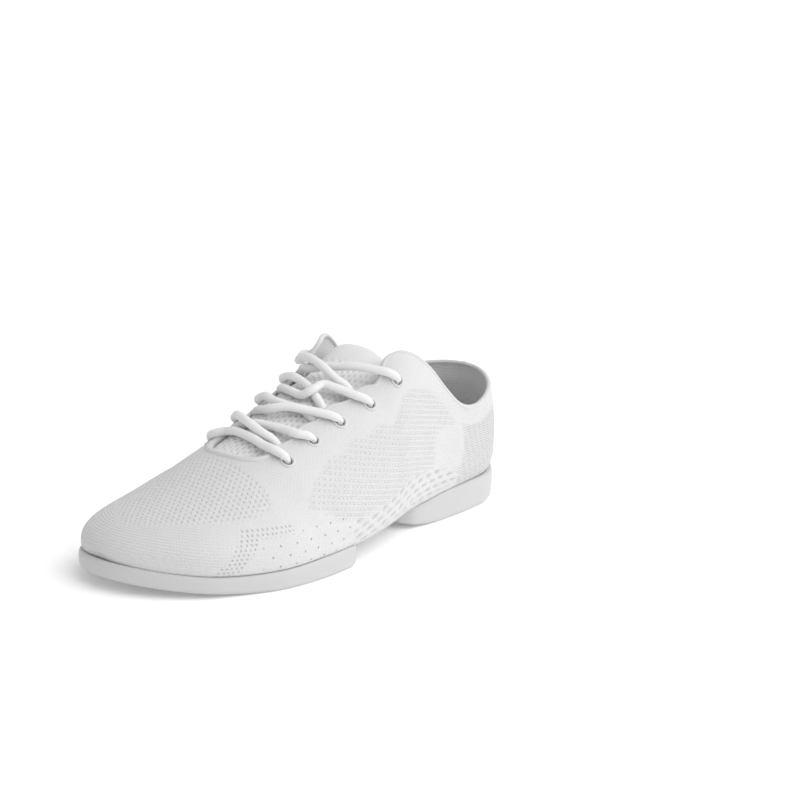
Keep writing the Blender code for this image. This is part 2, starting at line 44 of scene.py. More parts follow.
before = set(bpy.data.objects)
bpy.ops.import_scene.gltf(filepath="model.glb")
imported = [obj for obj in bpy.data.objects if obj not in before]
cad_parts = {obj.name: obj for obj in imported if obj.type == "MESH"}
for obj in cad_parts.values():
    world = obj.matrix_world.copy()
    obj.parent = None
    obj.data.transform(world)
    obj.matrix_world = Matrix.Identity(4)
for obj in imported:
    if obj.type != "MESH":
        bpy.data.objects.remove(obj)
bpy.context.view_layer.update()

MM = 0.001
ORIGIN = (0.9, 0.9, 0.0)
LENGTH = 251.0
HEEL_ROUND = 30.0
TOE_ROUND = 30.0
TOE_DROP = 18.0
UNDER_ROUND = 11.0
HEEL_LEAN = 7.0
COLLAR_RISE = 35.0
WALL = 2.2

LAST_COLUMNS = (
    "from_heel", "middle", "half", "under", "tip", "belt", "ridge", "ridge_side",
    "low_square", "outer_square", "inner_square",
)
LAST = (
    (0, 0.0, 27.0, 10.5, 0.0, 32.0, 96.0, 0.0, 3.2, 2.6, 2.6),
    (20, 0.0, 30.5, 10.0, 0.0, 31.0, 102.0, 0.0, 3.2, 2.7, 2.7),
    (45, 0.5, 33.0, 9.5, 0.3, 29.0, 108.0, -0.5, 3.2, 2.8, 2.8),
    (70, 1.5, 33.5, 8.5, 0.6, 28.0, 111.0, -1.0, 3.2, 2.8, 2.8),
    (95, 3.5, 35.0, 8.0, 1.0, 27.0, 105.0, 0.0, 3.3, 2.7, 2.6),
    (120, 5.5, 38.5, 8.5, 2.0, 24.0, 85.5, -0.5, 3.8, 2.2, 2.0),
    (145, 5.0, 41.5, 7.5, 1.2, 20.0, 72.8, -0.5, 4.4, 1.95, 1.75),
    (170, 3.0, 44.0, 6.5, 0.0, 17.5, 60.5, -1.0, 4.6, 1.9, 1.7),
    (195, 0.0, 44.5, 6.0, 0.0, 16.0, 47.5, -2.5, 4.4, 1.95, 1.8),
    (220, -5.0, 39.5, 6.5, 0.0, 16.0, 35.5, -6.0, 4.0, 1.95, 1.9),
    (238, -9.5, 32.5, 8.0, 0.0, 16.5, 28.5, -9.5, 3.6, 2.0, 2.0),
    (251, -12.5, 27.0, 10.5, 0.0, 17.0, 25.5, -12.5, 3.4, 2.0, 2.0),
)
EDGE_COLUMNS = ("from_heel", "outer", "inner")
THROAT = (
    (95, 29.5, 20.5),
    (110, 28.5, 18.5),
    (125, 25.0, 17.0),
    (142, 21.4, 16.0),
    (160, 19.8, 15.0),
    (190, 19.0, 14.5),
)
THROAT_FRONT = 188.5
THROAT_ROUND = 12.0
COLLAR = (
    (0, 66.0, 66.0),
    (20, 60.0, 62.0),
    (40, 55.0, 58.0),
    (55, 58.0, 60.5),
    (70, 69.0, 70.0),
    (82, 80.5, 81.0),
    (94, 88.5, 88.5),
    (106, 90.0, 89.5),
    (125, 84.0, 85.0),
)
PEAK = (96.0, 118.0)
SCALLOP = 0.9
EYELETS = (
    (174.8, 8.2, 7.0),
    (158.5, 8.0, 7.0),
    (142.0, 8.4, 7.0),
    (124.0, 7.8, 7.0),
    (106.5, 11.0, 9.0),
)
EYELET_REACH = 2.9  # the knit is cut away this far from an eyelet's middle

RIM_COLUMNS = ("from_heel", "outer", "inner", "out", "inset")
RIM = (
    (0, 15.5, 15.5, 3.4, 3.5),
    (20, 15.5, 16.0, 3.0, 2.0),
    (45, 15.5, 16.0, 2.0, 1.0),
    (65, 14.5, 15.0, 1.5, 1.0),
    (82, 12.0, 13.0, 1.5, 1.0),
    (100, 9.5, 11.0, 1.5, 1.0),
    (145, 10.5, 12.0, 1.6, -0.9),
    (165, 10.2, 12.0, 1.5, 0.4),
    (190, 9.2, 10.5, 1.5, 2.0),
    (220, 9.4, 10.0, 1.5, 3.0),
    (240, 11.5, 11.5, 1.5, 3.0),
    (251, 13.5, 13.5, 1.5, 3.0),
)
RIM_TUCK = 1.9  # how far the soles' rims reach in under the knit
SPRING = (195.0, 251.0, 6.0)
HEEL_LIP = (62.0, 98.0, 5.0)
HEEL_LIFT = (14.0, -2.0, 4.0)
FOREFOOT_REAR = (147.0, 160.0)
HEEL_FRONT = (86.0, 98.0)
FLAT = (0.58, 0.85)  # the shares of the way out between which the tread starts to rise
INNER_INSET = 9.0  # how far in the tread's inner edge lies
REAR_CORNER = (3.0, 8.0)  # roundings of the forefoot sole's outer and inner corner
HEEL_CORNER = (2.5, 2.5)
FOREFOOT_HUB = (-5.0, 200.0)
HEEL_HUB = (1.0, 44.0)
DIMPLE = (4.5, 1.6)
EDGE_ROUND = 2.8  # how high the soles' lower edge is rounded

# A sole's side from its rounded edge up to its rim: the share of the height, and how
# far in it lies. Then the surface that goes back under the foot: how far below the rim,
# and the share of the way out.
SOLE_SIDE = ((0.25, -0.15), (0.5, -0.2), (0.75, -0.1), (0.9, 0.2), (0.97, 0.55), (1.0, 1.0))
UNDER_RIM = ((0.4, 1.0), (3.0, 0.97), (5.5, 0.8), (6.5, 0.5), (6.5, 0.02))

# The tread's round grooves: their radius, and the angles between which each runs,
# from straight ahead towards the outer side.
FOREFOOT_GROOVES = (
    (12.0, 0, 360),
    (17.5, 0, 360),
    (25.5, -7, 32), (32.5, -7, 32), (39.5, -7, 32), (46.0, 3, 30),
    (25.5, 45, 86), (32.5, 45, 86), (39.5, 45, 85), (45.5, 48, 82),
    (25.5, 103, 149), (32.5, 103, 149), (39.5, 103, 149), (46.0, 105, 144),
    (25.5, 163, 202), (32.5, 163, 200), (37.5, 164, 176),
)
HEEL_GROOVES = (
    (13.0, 0, 360),
    (18.5, 0, 360),
    (26.0, 10, 72), (26.0, 104, 160), (26.0, 200, 256), (26.0, 288, 350),
)

STRIP_MIDDLE = 2.5
STRIP_HALF = 6.5
STRIP_GAP = 0.5
STRIP = 1.5
STRIP_SINK = 0.1  # how far the strip's back lies under the knit
INSOLE_ENDS = (7.0, 243.5)
INSOLE_ROUND = 24.0
INSOLE_FIT = 0.9
INSOLE_LIFT = 0.9  # over the inside of the upper
INSOLE_THICK = 3.0
TONGUE_ENDS = (200.0, 97.0)
TONGUE_HALF = (16.0, 26.0)
TONGUE_TOP = 2.0  # of the tongue's face, below the last's ridge
TONGUE_END = 7.0  # the same at its top end
TONGUE_SINK = 2.0  # more at its sides, under the flaps
TONGUE_SETTLE = 8.0  # more at its top end
TONGUE_PAD = 5.5  # thickness in the middle
TONGUE_TIP = (2.5, 2.0)  # how much lower and how much thinner its front end is
TONGUE_HOLLOW = 0.7  # depth of the hollows in its face


def tint(name, description, default):
    return bpy.props.FloatVectorProperty(
        name=name, description=description, default=default, subtype="COLOR", min=0, max=1
    )


def length(name, description, default):
    return bpy.props.FloatProperty(
        name=name, description=description, default=default, unit="LENGTH", subtype="DISTANCE"
    )


def strength(name, description, default, most=10):
    return bpy.props.FloatProperty(
        name=name, description=description, default=default, min=0, max=most
    )


class KnitSettings(bpy.types.PropertyGroup):
    colour: tint("Yarn", "Colour of the knit", (0.67, 0.67, 0.67))
    rib_pitch: length("Rib pitch", "Distance between the quarter's ribs", 0.0025)
    rib_height: length("Rib height", "How far the quarter's ribs stand up", 0.00013)
    cable_depth: length("Cable depth", "How deep the hollows between the cables are", 0.0011)
    hole_pitch: length("Hole pitch", "Distance between the holes of the vamp's mesh", 0.0027)


class SoleSettings(bpy.types.PropertyGroup):
    colour: tint("Rubber", "Colour of the soles", (0.55, 0.55, 0.55))
    groove_depth: length("Groove depth", "Depth of the tread's grooves", 0.0009)
    groove_width: length("Groove width", "Width of the tread's grooves", 0.0011)


class LaceSettings(bpy.types.PropertyGroup):
    colour: tint("Cord", "Colour of the lace", (0.82, 0.82, 0.82))
    radius: length("Radius", "Half the lace's thickness", 0.00205)


class LiningSettings(bpy.types.PropertyGroup):
    colour: tint("Lining", "Colour of the lining and footbed", (0.68, 0.68, 0.69))


class StageSettings(bpy.types.PropertyGroup):
    floor: strength("Floor", "How pale the floor is", 0.97, 1)
    glow: strength("Glow", "How much light the floor adds", 0.13)
    sky: strength("Sky", "Strength of the light from all round", 0.56)
    key: strength("Key", "Strength of the main light", 2.2)


def placed(points):
    """Millimetres from the sections' zero, as metres in the solids' frame."""
    return (np.asarray(points) - ORIGIN) * MM


def smooth(table, columns, name, s):
    """A column of the table, eased between its rows."""
    rows = np.array(table)
    x = rows[:, 0]
    y = rows[:, columns.index(name)]
    slope = np.gradient(y, x)
    i = np.clip(np.searchsorted(x, s, side="right") - 1, 0, len(x) - 2)
    step = x[i + 1] - x[i]
    t = (s - x[i]) / step
    ends = y[i] * (1 + 2 * t) * (1 - t) ** 2 + y[i + 1] * t * t * (3 - 2 * t)
    return ends + step * t * (1 - t) * (slope[i] * (1 - t) - slope[i + 1] * t)


def unit(vectors):
    """The vectors at a length of 1."""
    return vectors / np.maximum(np.linalg.norm(vectors, axis=-1, keepdims=True), 1e-9)


def upright(height):
    """Vectors straight up, as long as the heights."""
    return np.stack([0 * height, 0 * height, height], axis=-1)


def run(points):
    """How far along a route each of its points is."""
    steps = np.linalg.norm(np.diff(points, axis=0), axis=1)
    return np.concatenate([[0], np.cumsum(steps)])


def cap(t, power=2.0):
    """From 0 at an end to 1, along a rounded end."""
    t = np.clip(t, 0.0, 1.0)
    return (1 - (1 - t) ** power) ** (1 / power)


def ease(t):
    """From 0 to 1, level at both ends."""
    t = np.clip(t, 0.0, 1.0)
    return t * t * (3 - 2 * t)


def band(x, low, high, soft):
    """1 between low and high, fading over soft on each side."""
    return ease((x - low) / soft + 0.5) * ease((high - x) / soft + 0.5)


def last(name, s):
    """A column of the last's sections."""
    return smooth(LAST, LAST_COLUMNS, name, s)


def on_last(s, side, angle):
    """The last's surface: angle 0 is the middle of the underside, a quarter turn
    the belt and a half turn the ridge, on the outer side (1) or inner side (-1)."""
    s, side, angle = np.broadcast_arrays(np.asarray(s, float), side, angle)
    plan = cap(s / HEEL_ROUND, 2.2) * cap((LENGTH - s) / TOE_ROUND, 2.2)
    middle = last("middle", s)
    belt = last("belt", s)
    under = last("under", s)
    under = belt - (belt - under) * cap(s / UNDER_ROUND) * cap((LENGTH - s) / UNDER_ROUND)
    ridge = belt + (last("ridge", s) - belt) * cap((LENGTH - s) / TOE_DROP)
    half = side * last("half", s) * plan
    to_ridge = (last("ridge_side", s) - middle) * plan - half
    low = np.clip(angle, 0, math.pi / 2)
    out = np.sin(low) ** (2 / last("low_square", s))
    down = np.maximum(np.cos(low), 0) ** (2 / last("low_square", s))
    high = np.clip(angle - math.pi / 2, 0, math.pi / 2)
    square = np.where(side > 0, last("outer_square", s), last("inner_square", s))
    back = 1 - np.maximum(np.cos(high), 0) ** (2 / square)
    up = np.sin(high) ** (2 / square)
    tip = last("tip", s) * side * out * plan
    lean = HEEL_LEAN * (1 - ease(s / 70.0)) * (up * (ridge - belt) / COLLAR_RISE) ** 1.6
    x = middle + half * out + to_ridge * back
    z = belt - (belt - under + tip) * down + (ridge - belt) * up
    return np.stack([x, LENGTH / 2 - s - lean, z], axis=-1)


UPPER_HALF = np.linspace(0, math.pi, 721)[360:]  # angles from the belt to the ridge
RIB_SLOPE = 0.20  # how fast the quarter's ribs rise towards the toe


def scallop(s):
    """How far the throat's edge swells towards the middle beside each eyelet."""
    rows = np.array([row[0] for row in EYELETS])[::-1]
    ends = (rows[0] - 9.0, *rows, rows[-1] + 8.5)
    turn = np.interp(s, ends, (-0.5, *range(len(rows)), len(rows) - 0.5))
    return SCALLOP * np.cos(2 * math.pi * turn) * band(s, rows[0] - 4, rows[-1] + 4, 5.0)


def top_angle(s, side):
    """The angle at which the upper ends: at the throat, at the collar or, in front
    of the throat, at the ridge."""
    if s >= THROAT_FRONT:
        return math.pi
    name = "outer" if side > 0 else "inner"
    points = on_last(s, side, UPPER_HALF)
    across = np.abs(points[:, 0] - points[-1, 0])
    gap = smooth(THROAT, EDGE_COLUMNS, name, max(s, THROAT[0][0])) - scallop(s)
    gap *= cap((THROAT_FRONT - s) / THROAT_ROUND, 2.4)
    throat = np.interp(-gap, -across, UPPER_HALF)
    height = smooth(COLLAR, EDGE_COLUMNS, name, min(s, COLLAR[-1][0]))
    collar = np.interp(height, points[:, 2], UPPER_HALF)
    mix = ease((s - PEAK[0]) / (PEAK[1] - PEAK[0]))
    return collar + (throat - collar) * mix


def half_section(s, side, fractions):
    """Points at fractions of the way from the middle of the underside to the top
    edge, with their distances over the surface from the first, from the edge and
    from the ridge."""
    angles = np.linspace(0, math.pi, 541)
    points = on_last(s, side, angles)
    along = run(points)
    edge = np.interp(top_angle(s, side), angles, along)
    wanted = np.asarray(fractions) * edge
    found = on_last(s, side, np.interp(wanted, along, angles))
    return found, wanted, edge - wanted, along[-1] - wanted


def stations(spacing):
    """Distances from the heel, closer together where the ends turn."""
    turn = np.linspace(0, math.pi / 2, int(46 / spacing))
    heel = HEEL_ROUND * (1 - np.cos(turn))
    middle = np.linspace(HEEL_ROUND, LENGTH - TOE_ROUND, int(191 / spacing))
    toe = LENGTH - TOE_ROUND * (1 - np.sin(turn))
    turn = np.linspace(0, math.pi / 2, int(22 / spacing))
    throat = THROAT_FRONT - THROAT_ROUND * (1 - np.sin(turn))
    middle = middle[(middle < throat[0] - 0.3) | (middle > THROAT_FRONT + 0.3)]
    return np.unique(np.round(np.concatenate([heel, middle, throat, toe]), 3))


def last_grid(rows, fractions):
    """The upper's outer face as a dict of arrays [row, column], from the outer top
    edge under the foot to the inner top edge."""
    found = {"point": [], "around": [], "from_edge": [], "from_ridge": []}
    for s in rows:
        halves = zip(found, half_section(s, 1, fractions), half_section(s, -1, fractions))
        for name, outer, inner in halves:
            found[name].append(np.concatenate([outer[::-1], inner[1:]]))
    grid = {name: np.array(values) for name, values in found.items()}
    count = len(fractions)
    grid["side"] = np.where(np.arange(2 * count - 1) < count, 1.0, -1.0)[None, :]
    grid["side"] = np.repeat(grid["side"], len(rows), axis=0)
    grid["s"] = np.repeat(np.asarray(rows)[:, None], 2 * count - 1, axis=1)
    grid["along"] = np.repeat(belt_length(rows)[:, None], 2 * count - 1, axis=1)
    grid["normal"] = grid_normals(grid["point"], rows)
    return grid


def belt_length(rows):
    """How far along its widest line the upper has run at each distance from the heel."""
    return np.mean([run(on_last(rows, side, math.pi / 2)[:, :2]) for side in (1, -1)], axis=0)


def from_rim(points):
    """The distance of each point from the forefoot sole's rim."""
    rim = []
    for side in (1, -1):
        for s in LENGTH - TOE_ROUND * 2.2 * (1 - np.sin(np.linspace(0, math.pi / 2, 70))):
            rim.append((*rim_plan(s, side), rim_height(s, side)))
    rim = np.array(rim)
    near = np.full(points.shape[:2], 60.0)
    ahead = points[:, 0, 1] < LENGTH / 2 - 185.0
    for row in np.flatnonzero(ahead):
        gaps = np.linalg.norm(points[row][:, None] - rim[None], axis=2)
        near[row] = gaps.min(axis=1)
    return near


def grid_normals(points, rows):
    """Outward normals of the upper's grid, the same on both sides of its seams."""
    along = np.gradient(points, axis=0)
    around = np.gradient(points, axis=1)
    normal = np.cross(along, around)
    normal[0] = (0, 1, 0)
    normal[-1] = (0, -1, 0)
    normal = unit(normal)
    closed = np.asarray(rows) >= THROAT_FRONT
    seam = unit(normal[closed, 0] + normal[closed, -1])
    normal[closed, 0] = seam
    normal[closed, -1] = seam
    return normal


# Where each knit lies on the upper: distances from the heel, heights, and distances over
# the surface, from the top edge or round from the middle of the underside.
MESH_SINK = 0.1
MESH_MIDDLE = 200.0
MESH_REACH = (41.0, 9.0, 40.0)  # of the vamp's mesh: ahead, behind and down each side
QUARTER = (56.0, 183.0)
QUARTER_TOP = ((50, 75, 97, 110, 130, 161, 170, 179, 186), (10, 10, 17, 21, 18, 20, 22, 31, 45))
QUARTER_LOW = ((0, 56, 70, 84, 100, 145, 162, 182), (34, 40, 46, 50, 52, 52, 58, 70))
COUNTER = (66.0, 38.0, 13.0, 11.0)  # the plain patch: its middle and half its size
HEEL_RIBS = (9.0, 54.0)
HEEL_BACK = 8.0
DASHES = (56.0, 152.0)
CABLES = (84.0, 168.0)
CABLES_AROUND = (7.5, 35.0)
TOE_RIBS = 202.0
BEND_FOOT = (221.0, 11.0, 0.8, 4.5)  # the L-shaped strip's foot: place, height, slant, half width
BEND_ARM = (190.0, 213.0, 24.5, 29.0)
PINS = (152.0, 206.0)
PINS_AROUND = (38.0, 60.0)


def zones(grid):
    """How much of each knit there is at each point of the grid, 0 to 1."""
    s, around, edge = grid["s"], np.abs(grid["around"]), grid["from_edge"]
    height = grid["point"][..., 2]
    ahead = np.maximum(s - MESH_MIDDLE, 0) / MESH_REACH[0]
    behind = np.maximum(MESH_MIDDLE - s, 0) / MESH_REACH[1]
    down = edge / MESH_REACH[2]
    oval = np.where(s < MESH_MIDDLE, behind ** 4 + down ** 4, ahead ** 1.35 + down ** 1.35)
    mesh = 1 - ease((oval - 0.9) / 0.16)
    top = np.interp(s, *QUARTER_TOP)
    low = np.interp(s, *QUARTER_LOW)
    counter = ((s - COUNTER[0]) / COUNTER[2]) ** 4 + ((height - COUNTER[1]) / COUNTER[3]) ** 4
    plain = ease((counter - 0.4) / 1.6)
    fade = ease((edge - top) / 4.0 + 0.5) * ease((around - low) / 4.0 + 0.5) * plain
    quarter = fade * band(s, *QUARTER, 3.0)
    heel = ease((edge - HEEL_RIBS[0]) / 2.0 + 0.5) * (1 - ease((s - HEEL_RIBS[1]) / 4.0)) * plain
    back = heel * (1 - ease((s - HEEL_BACK) / 7.0))
    dash = band(s, *DASHES, 4.0) * ease((around - CABLES_AROUND[1]) / 1.5 + 0.5)
    dash = dash * ease((low - around) / 1.5 + 0.5)
    cable = band(s, *CABLES, 3.0) * band(around, *CABLES_AROUND, 1.5)
    toe = ease((s - TOE_RIBS) / 34.0) * (1 - mesh)
    place, foot, slant, half = BEND_FOOT
    centre = place - np.maximum(height - foot, 0) * slant
    strip = band(s, centre - half, centre + half, 1.0) * (1 - ease((height - 25.0) / 1.5))
    arm = band(s, *BEND_ARM[:2], 1.0) * band(height, *BEND_ARM[2:], 1.0)
    outer = grid["side"] > 0
    strip = np.maximum(strip, arm) * outer * ease((around - 34.0) / 2.0)
    pin = band(s, *PINS, 2.0) * band(around, *PINS_AROUND, 2.0) * (1 - strip) * outer
    return {
        "mesh": mesh, "quarter": quarter, "heel": heel, "back": back, "dash": dash,
        "cable": cable, "toe": toe, "strip": strip, "pin": pin,
    }


def wave(x, pitch):
    return 0.5 + 0.5 * np.cos(2 * math.pi * x / pitch)


def lens(along, across, pitch_along, pitch_across, half_along, half_across):
    """Staggered lens-shaped hollows, 0 outside and 1 at their middles."""
    row = np.floor(across / pitch_across)
    shift = 0.5 * (row % 2)
    a = ((along / pitch_along + shift) % 1.0 - 0.5) * pitch_along / half_along
    b = ((across / pitch_across) % 1.0 - 0.5) * pitch_across / half_across
    return ease(1.15 - np.sqrt(np.abs(a) ** 2.2 + np.abs(b) ** 2.0))


def knit_height(grid, masks, settings):
    """The knit's relief over the upper's even surface, in millimetres. It adds the
    mask of the hollows between the cables and dashes."""
    s, around = grid["s"], np.abs(grid["around"])
    height = grid["point"][..., 2]
    rib = settings.rib_height / MM
    course = height - RIB_SLOPE * grid["along"]
    rise = rib * masks["quarter"] * (2 * wave(course, settings.rib_pitch / MM) - 1)
    cables = masks["cable"] * lens(s, around - CABLES_AROUND[0], 13.0, 5.4, 5.8, 2.2)
    fan = around - 2.5 * np.sin((s - DASHES[0]) / (DASHES[1] - DASHES[0]) * math.pi)
    dashes = masks["dash"] * lens(s, fan, 8.0, 3.6, 3.4, 1.2)
    hollow = np.maximum(cables, 0.8 * dashes)
    masks["hollow"] = hollow
    rise = rise - settings.cable_depth / MM * hollow
    return rise - MESH_SINK * masks["mesh"] + creases(grid)


# Soft troughs: the side, outer (1) or inner (-1), where each starts and
# ends, as distances from the heel and heights, how wide it is and how deep.
CREASES = (
    (1, 205, 30.0, 150, 23.0, 1.6, 0.30),
    (1, 186, 40.0, 176, 20.0, 6.0, 0.45),
    (1, 168, 34.0, 160, 16.0, 5.0, 0.30),
    (-1, 190, 38.0, 168, 18.0, 6.0, 0.45),
    (-1, 120, 40.0, 98, 20.0, 8.0, 0.60),
    (1, 52, 52.0, 30, 34.0, 7.0, 0.35),
    (-1, 56, 52.0, 34, 32.0, 7.0, 0.45),
)


def creases(grid):
    """The soft troughs' relief."""
    s, height = grid["s"], grid["point"][..., 2]
    rise = np.zeros_like(s)
    for side, s0, z0, s1, z1, width, depth in CREASES:
        line = np.array([s1 - s0, z1 - z0], float)
        t = ((s - s0) * line[0] + (height - z0) * line[1]) / (line @ line)
        t = np.clip(t, 0, 1)
        off = np.hypot(s - s0 - t * line[0], height - z0 - t * line[1])
        rise -= depth * np.exp(-((off / width) ** 2)) * (grid["side"] == side)
    return rise


def deselect():
    if bpy.context.mode != "OBJECT":
        bpy.ops.object.mode_set(mode="OBJECT")
    bpy.ops.object.select_all(action="DESELECT")


def wrap(name, points, maps=None, masks=None, inside_out=False):
    """A grid primitive wrapped on points[row, column], with its UV maps and masks.
    Points that meet are merged."""
    rows, columns = points.shape[:2]
    deselect()
    bpy.ops.mesh.primitive_grid_add(x_subdivisions=columns - 1, y_subdivisions=rows - 1, size=1)
    piece = bpy.context.object
    piece.name = name
    mesh = piece.data
    mesh.name = name
    mesh.vertices.foreach_set("co", placed(points).reshape(-1))
    while mesh.uv_layers:
        mesh.uv_layers.remove(mesh.uv_layers[0])
    corners = np.empty(len(mesh.loops), int)
    mesh.loops.foreach_get("vertex_index", corners)
    for label, values in (maps or {}).items():
        layer = mesh.uv_layers.new(name=label)
        layer.data.foreach_set("uv", (values.reshape(-1, 2)[corners] * MM).reshape(-1))
    for label, values in (masks or {}).items():
        made = mesh.attributes.new(label, "FLOAT", "POINT")
        made.data.foreach_set("value", np.ascontiguousarray(values, float).reshape(-1))
    bpy.ops.object.mode_set(mode="EDIT")
    bpy.ops.mesh.select_all(action="SELECT")
    bpy.ops.mesh.remove_doubles(threshold=0.02 * MM)
    bpy.ops.mesh.normals_make_consistent(inside=inside_out)
    bpy.ops.object.mode_set(mode="OBJECT")
    bpy.ops.object.shade_smooth()
    return piece


def loft(name, rings, maps=None, masks=None):
    """A closed solid through rings[row, column], its first and last ring flattened
    to a line or a point."""
    closed = np.concatenate([rings, rings[:, :1]], axis=1)
    return wrap(name, closed, maps, masks)


def finish(piece, surface, replaced=()):
    """Gives a piece its material and joins it to the frame."""
    piece.data.materials.clear()
    piece.data.materials.append(surface)
    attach(piece, "root")
    if replaced:
        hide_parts(*replaced)
    return piece


def cut_eyelets(piece):
    """Removes the faces over each eyelet's hole."""
    bm = bmesh.new()
    bm.from_mesh(piece.data)
    bm.faces.ensure_lookup_table()
    middles = np.array([face.calc_center_median() for face in bm.faces])
    gone = np.zeros(len(middles), bool)
    for row in range(len(EYELETS)):
        for side in (1, -1):
            point, out, _ = surface_frame(*eyelet(row, side))
            offset = middles - placed(point)
            depth = offset @ out
            reach = np.linalg.norm(offset - depth[:, None] * out, axis=1)
            gone |= (reach < EYELET_REACH * MM) & (np.abs(depth) < 5 * MM)
    faces = [bm.faces[i] for i in np.flatnonzero(gone)]
    bmesh.ops.delete(bm, geom=faces, context="FACES")
    bm.to_mesh(piece.data)
    bm.free()


class Shader:
    """A material's node graph, built from short calls."""

    def __init__(self, name, colour, roughness):
        self.material = bpy.data.materials.new(name)
        self.material.use_nodes = True
        self.tree = self.material.node_tree
        self.principled = self.tree.nodes["Principled BSDF"]
        self.principled.inputs["Base Color"].default_value = (*colour, 1.0)
        self.principled.inputs["Roughness"].default_value = roughness

    def put(self, socket, value):
        if isinstance(value, bpy.types.NodeSocket):
            self.tree.links.new(value, socket)
        else:
            socket.default_value = value

    def math(self, operation, *values):
        node = self.tree.nodes.new("ShaderNodeMath")
        node.operation = operation
        for socket, value in zip(node.inputs, values):
            self.put(socket, value)
        return node.outputs[0]

    def times(self, a, b):
        return self.math("MULTIPLY", a, b)

    def plus(self, a, b):
        return self.math("ADD", a, b)

    def minus(self, a, b):
        return self.math("SUBTRACT", a, b)

    def scaled(self, value, factor, start):
        return self.math("MULTIPLY_ADD", value, factor, start)

    def attribute(self, name):
        node = self.tree.nodes.new("ShaderNodeAttribute")
        node.attribute_name = name
        return node.outputs["Fac"]

    def axes(self, socket, count):
        """The first coordinates of a socket, in millimetres."""
        split = self.tree.nodes.new("ShaderNodeSeparateXYZ")
        self.tree.links.new(socket, split.inputs[0])
        return [self.times(split.outputs[i], 1 / MM) for i in range(count)]

    def map_axes(self, name):
        """A UV map's two coordinates."""
        node = self.tree.nodes.new("ShaderNodeUVMap")
        node.uv_map = name
        return self.axes(node.outputs[0], 2)

    def place(self):
        """Object coordinates."""
        return self.axes(self.tree.nodes.new("ShaderNodeTexCoord").outputs["Object"], 3)

    def noise(self, size, detail=2.0):
        """Noise in object coordinates with blotches of this size in millimetres."""
        coordinates = self.tree.nodes.new("ShaderNodeTexCoord")
        node = self.tree.nodes.new("ShaderNodeTexNoise")
        node.inputs["Scale"].default_value = 1.0 / (size * MM)
        node.inputs["Detail"].default_value = detail
        self.tree.links.new(coordinates.outputs["Object"], node.inputs["Vector"])
        return node.outputs["Fac"]

    def holes(self, a, b, pitch_a, pitch_b, radius, soft):
        """1 in staggered round holes of a lattice, and 0 between them."""
        row = self.math("FLOOR", self.math("DIVIDE", b, pitch_b))
        shift = self.times(self.math("FLOORED_MODULO", row, 2.0), 0.5)
        x = self.math("FRACT", self.plus(self.math("DIVIDE", a, pitch_a), shift))
        y = self.math("FRACT", self.math("DIVIDE", b, pitch_b))
        x = self.times(self.minus(x, 0.5), pitch_a)
        y = self.times(self.minus(y, 0.5), pitch_b)
        away = self.math("SQRT", self.plus(self.times(x, x), self.times(y, y)))
        return self.fade(away, radius + soft, radius - soft)

    def fade(self, value, zero, one):
        """0 where the value is at zero, 1 where it is at one, eased between."""
        node = self.tree.nodes.new("ShaderNodeMapRange")
        node.interpolation_type = "SMOOTHSTEP"
        node.inputs["From Min"].default_value = zero
        node.inputs["From Max"].default_value = one
        self.put(node.inputs["Value"], value)
        return node.outputs["Result"]

    def wave(self, value, pitch):
        """A ridge each pitch, 0 to 1."""
        turn = self.times(value, 2 * math.pi / pitch)
        return self.scaled(self.math("COSINE", turn), 0.5, 0.5)

    def valleys(self, value, pitch):
        """A valley between each two ridges, 0 to 1."""
        return self.minus(1.0, self.wave(value, pitch))

    def blend(self, factor, colour, other):
        """The base colour: the first colour, and the other where the factor is 1."""
        node = self.tree.nodes.new("ShaderNodeMix")
        node.data_type = "RGBA"
        self.put(node.inputs["Factor"], factor)
        node.inputs["A"].default_value = (*colour, 1.0)
        node.inputs["B"].default_value = (*other, 1.0)
        self.tree.links.new(node.outputs["Result"], self.principled.inputs["Base Color"])

    def bump(self, height, distance, strength=1.0):
        """Relief from a height of 0 to 1, this many millimetres deep."""
        node = self.tree.nodes.new("ShaderNodeBump")
        node.inputs["Strength"].default_value = strength
        node.inputs["Distance"].default_value = distance * MM
        self.tree.links.new(height, node.inputs["Height"])
        self.tree.links.new(node.outputs["Normal"], self.principled.inputs["Normal"])

    def cloth(self, sheen=0.25):
        self.principled.inputs["Sheen Weight"].default_value = sheen
        self.principled.inputs["Sheen Roughness"].default_value = 0.5
        self.principled.inputs["Specular IOR Level"].default_value = 0.25


def shade(colour, factor):
    return tuple(channel * factor for channel in colour)


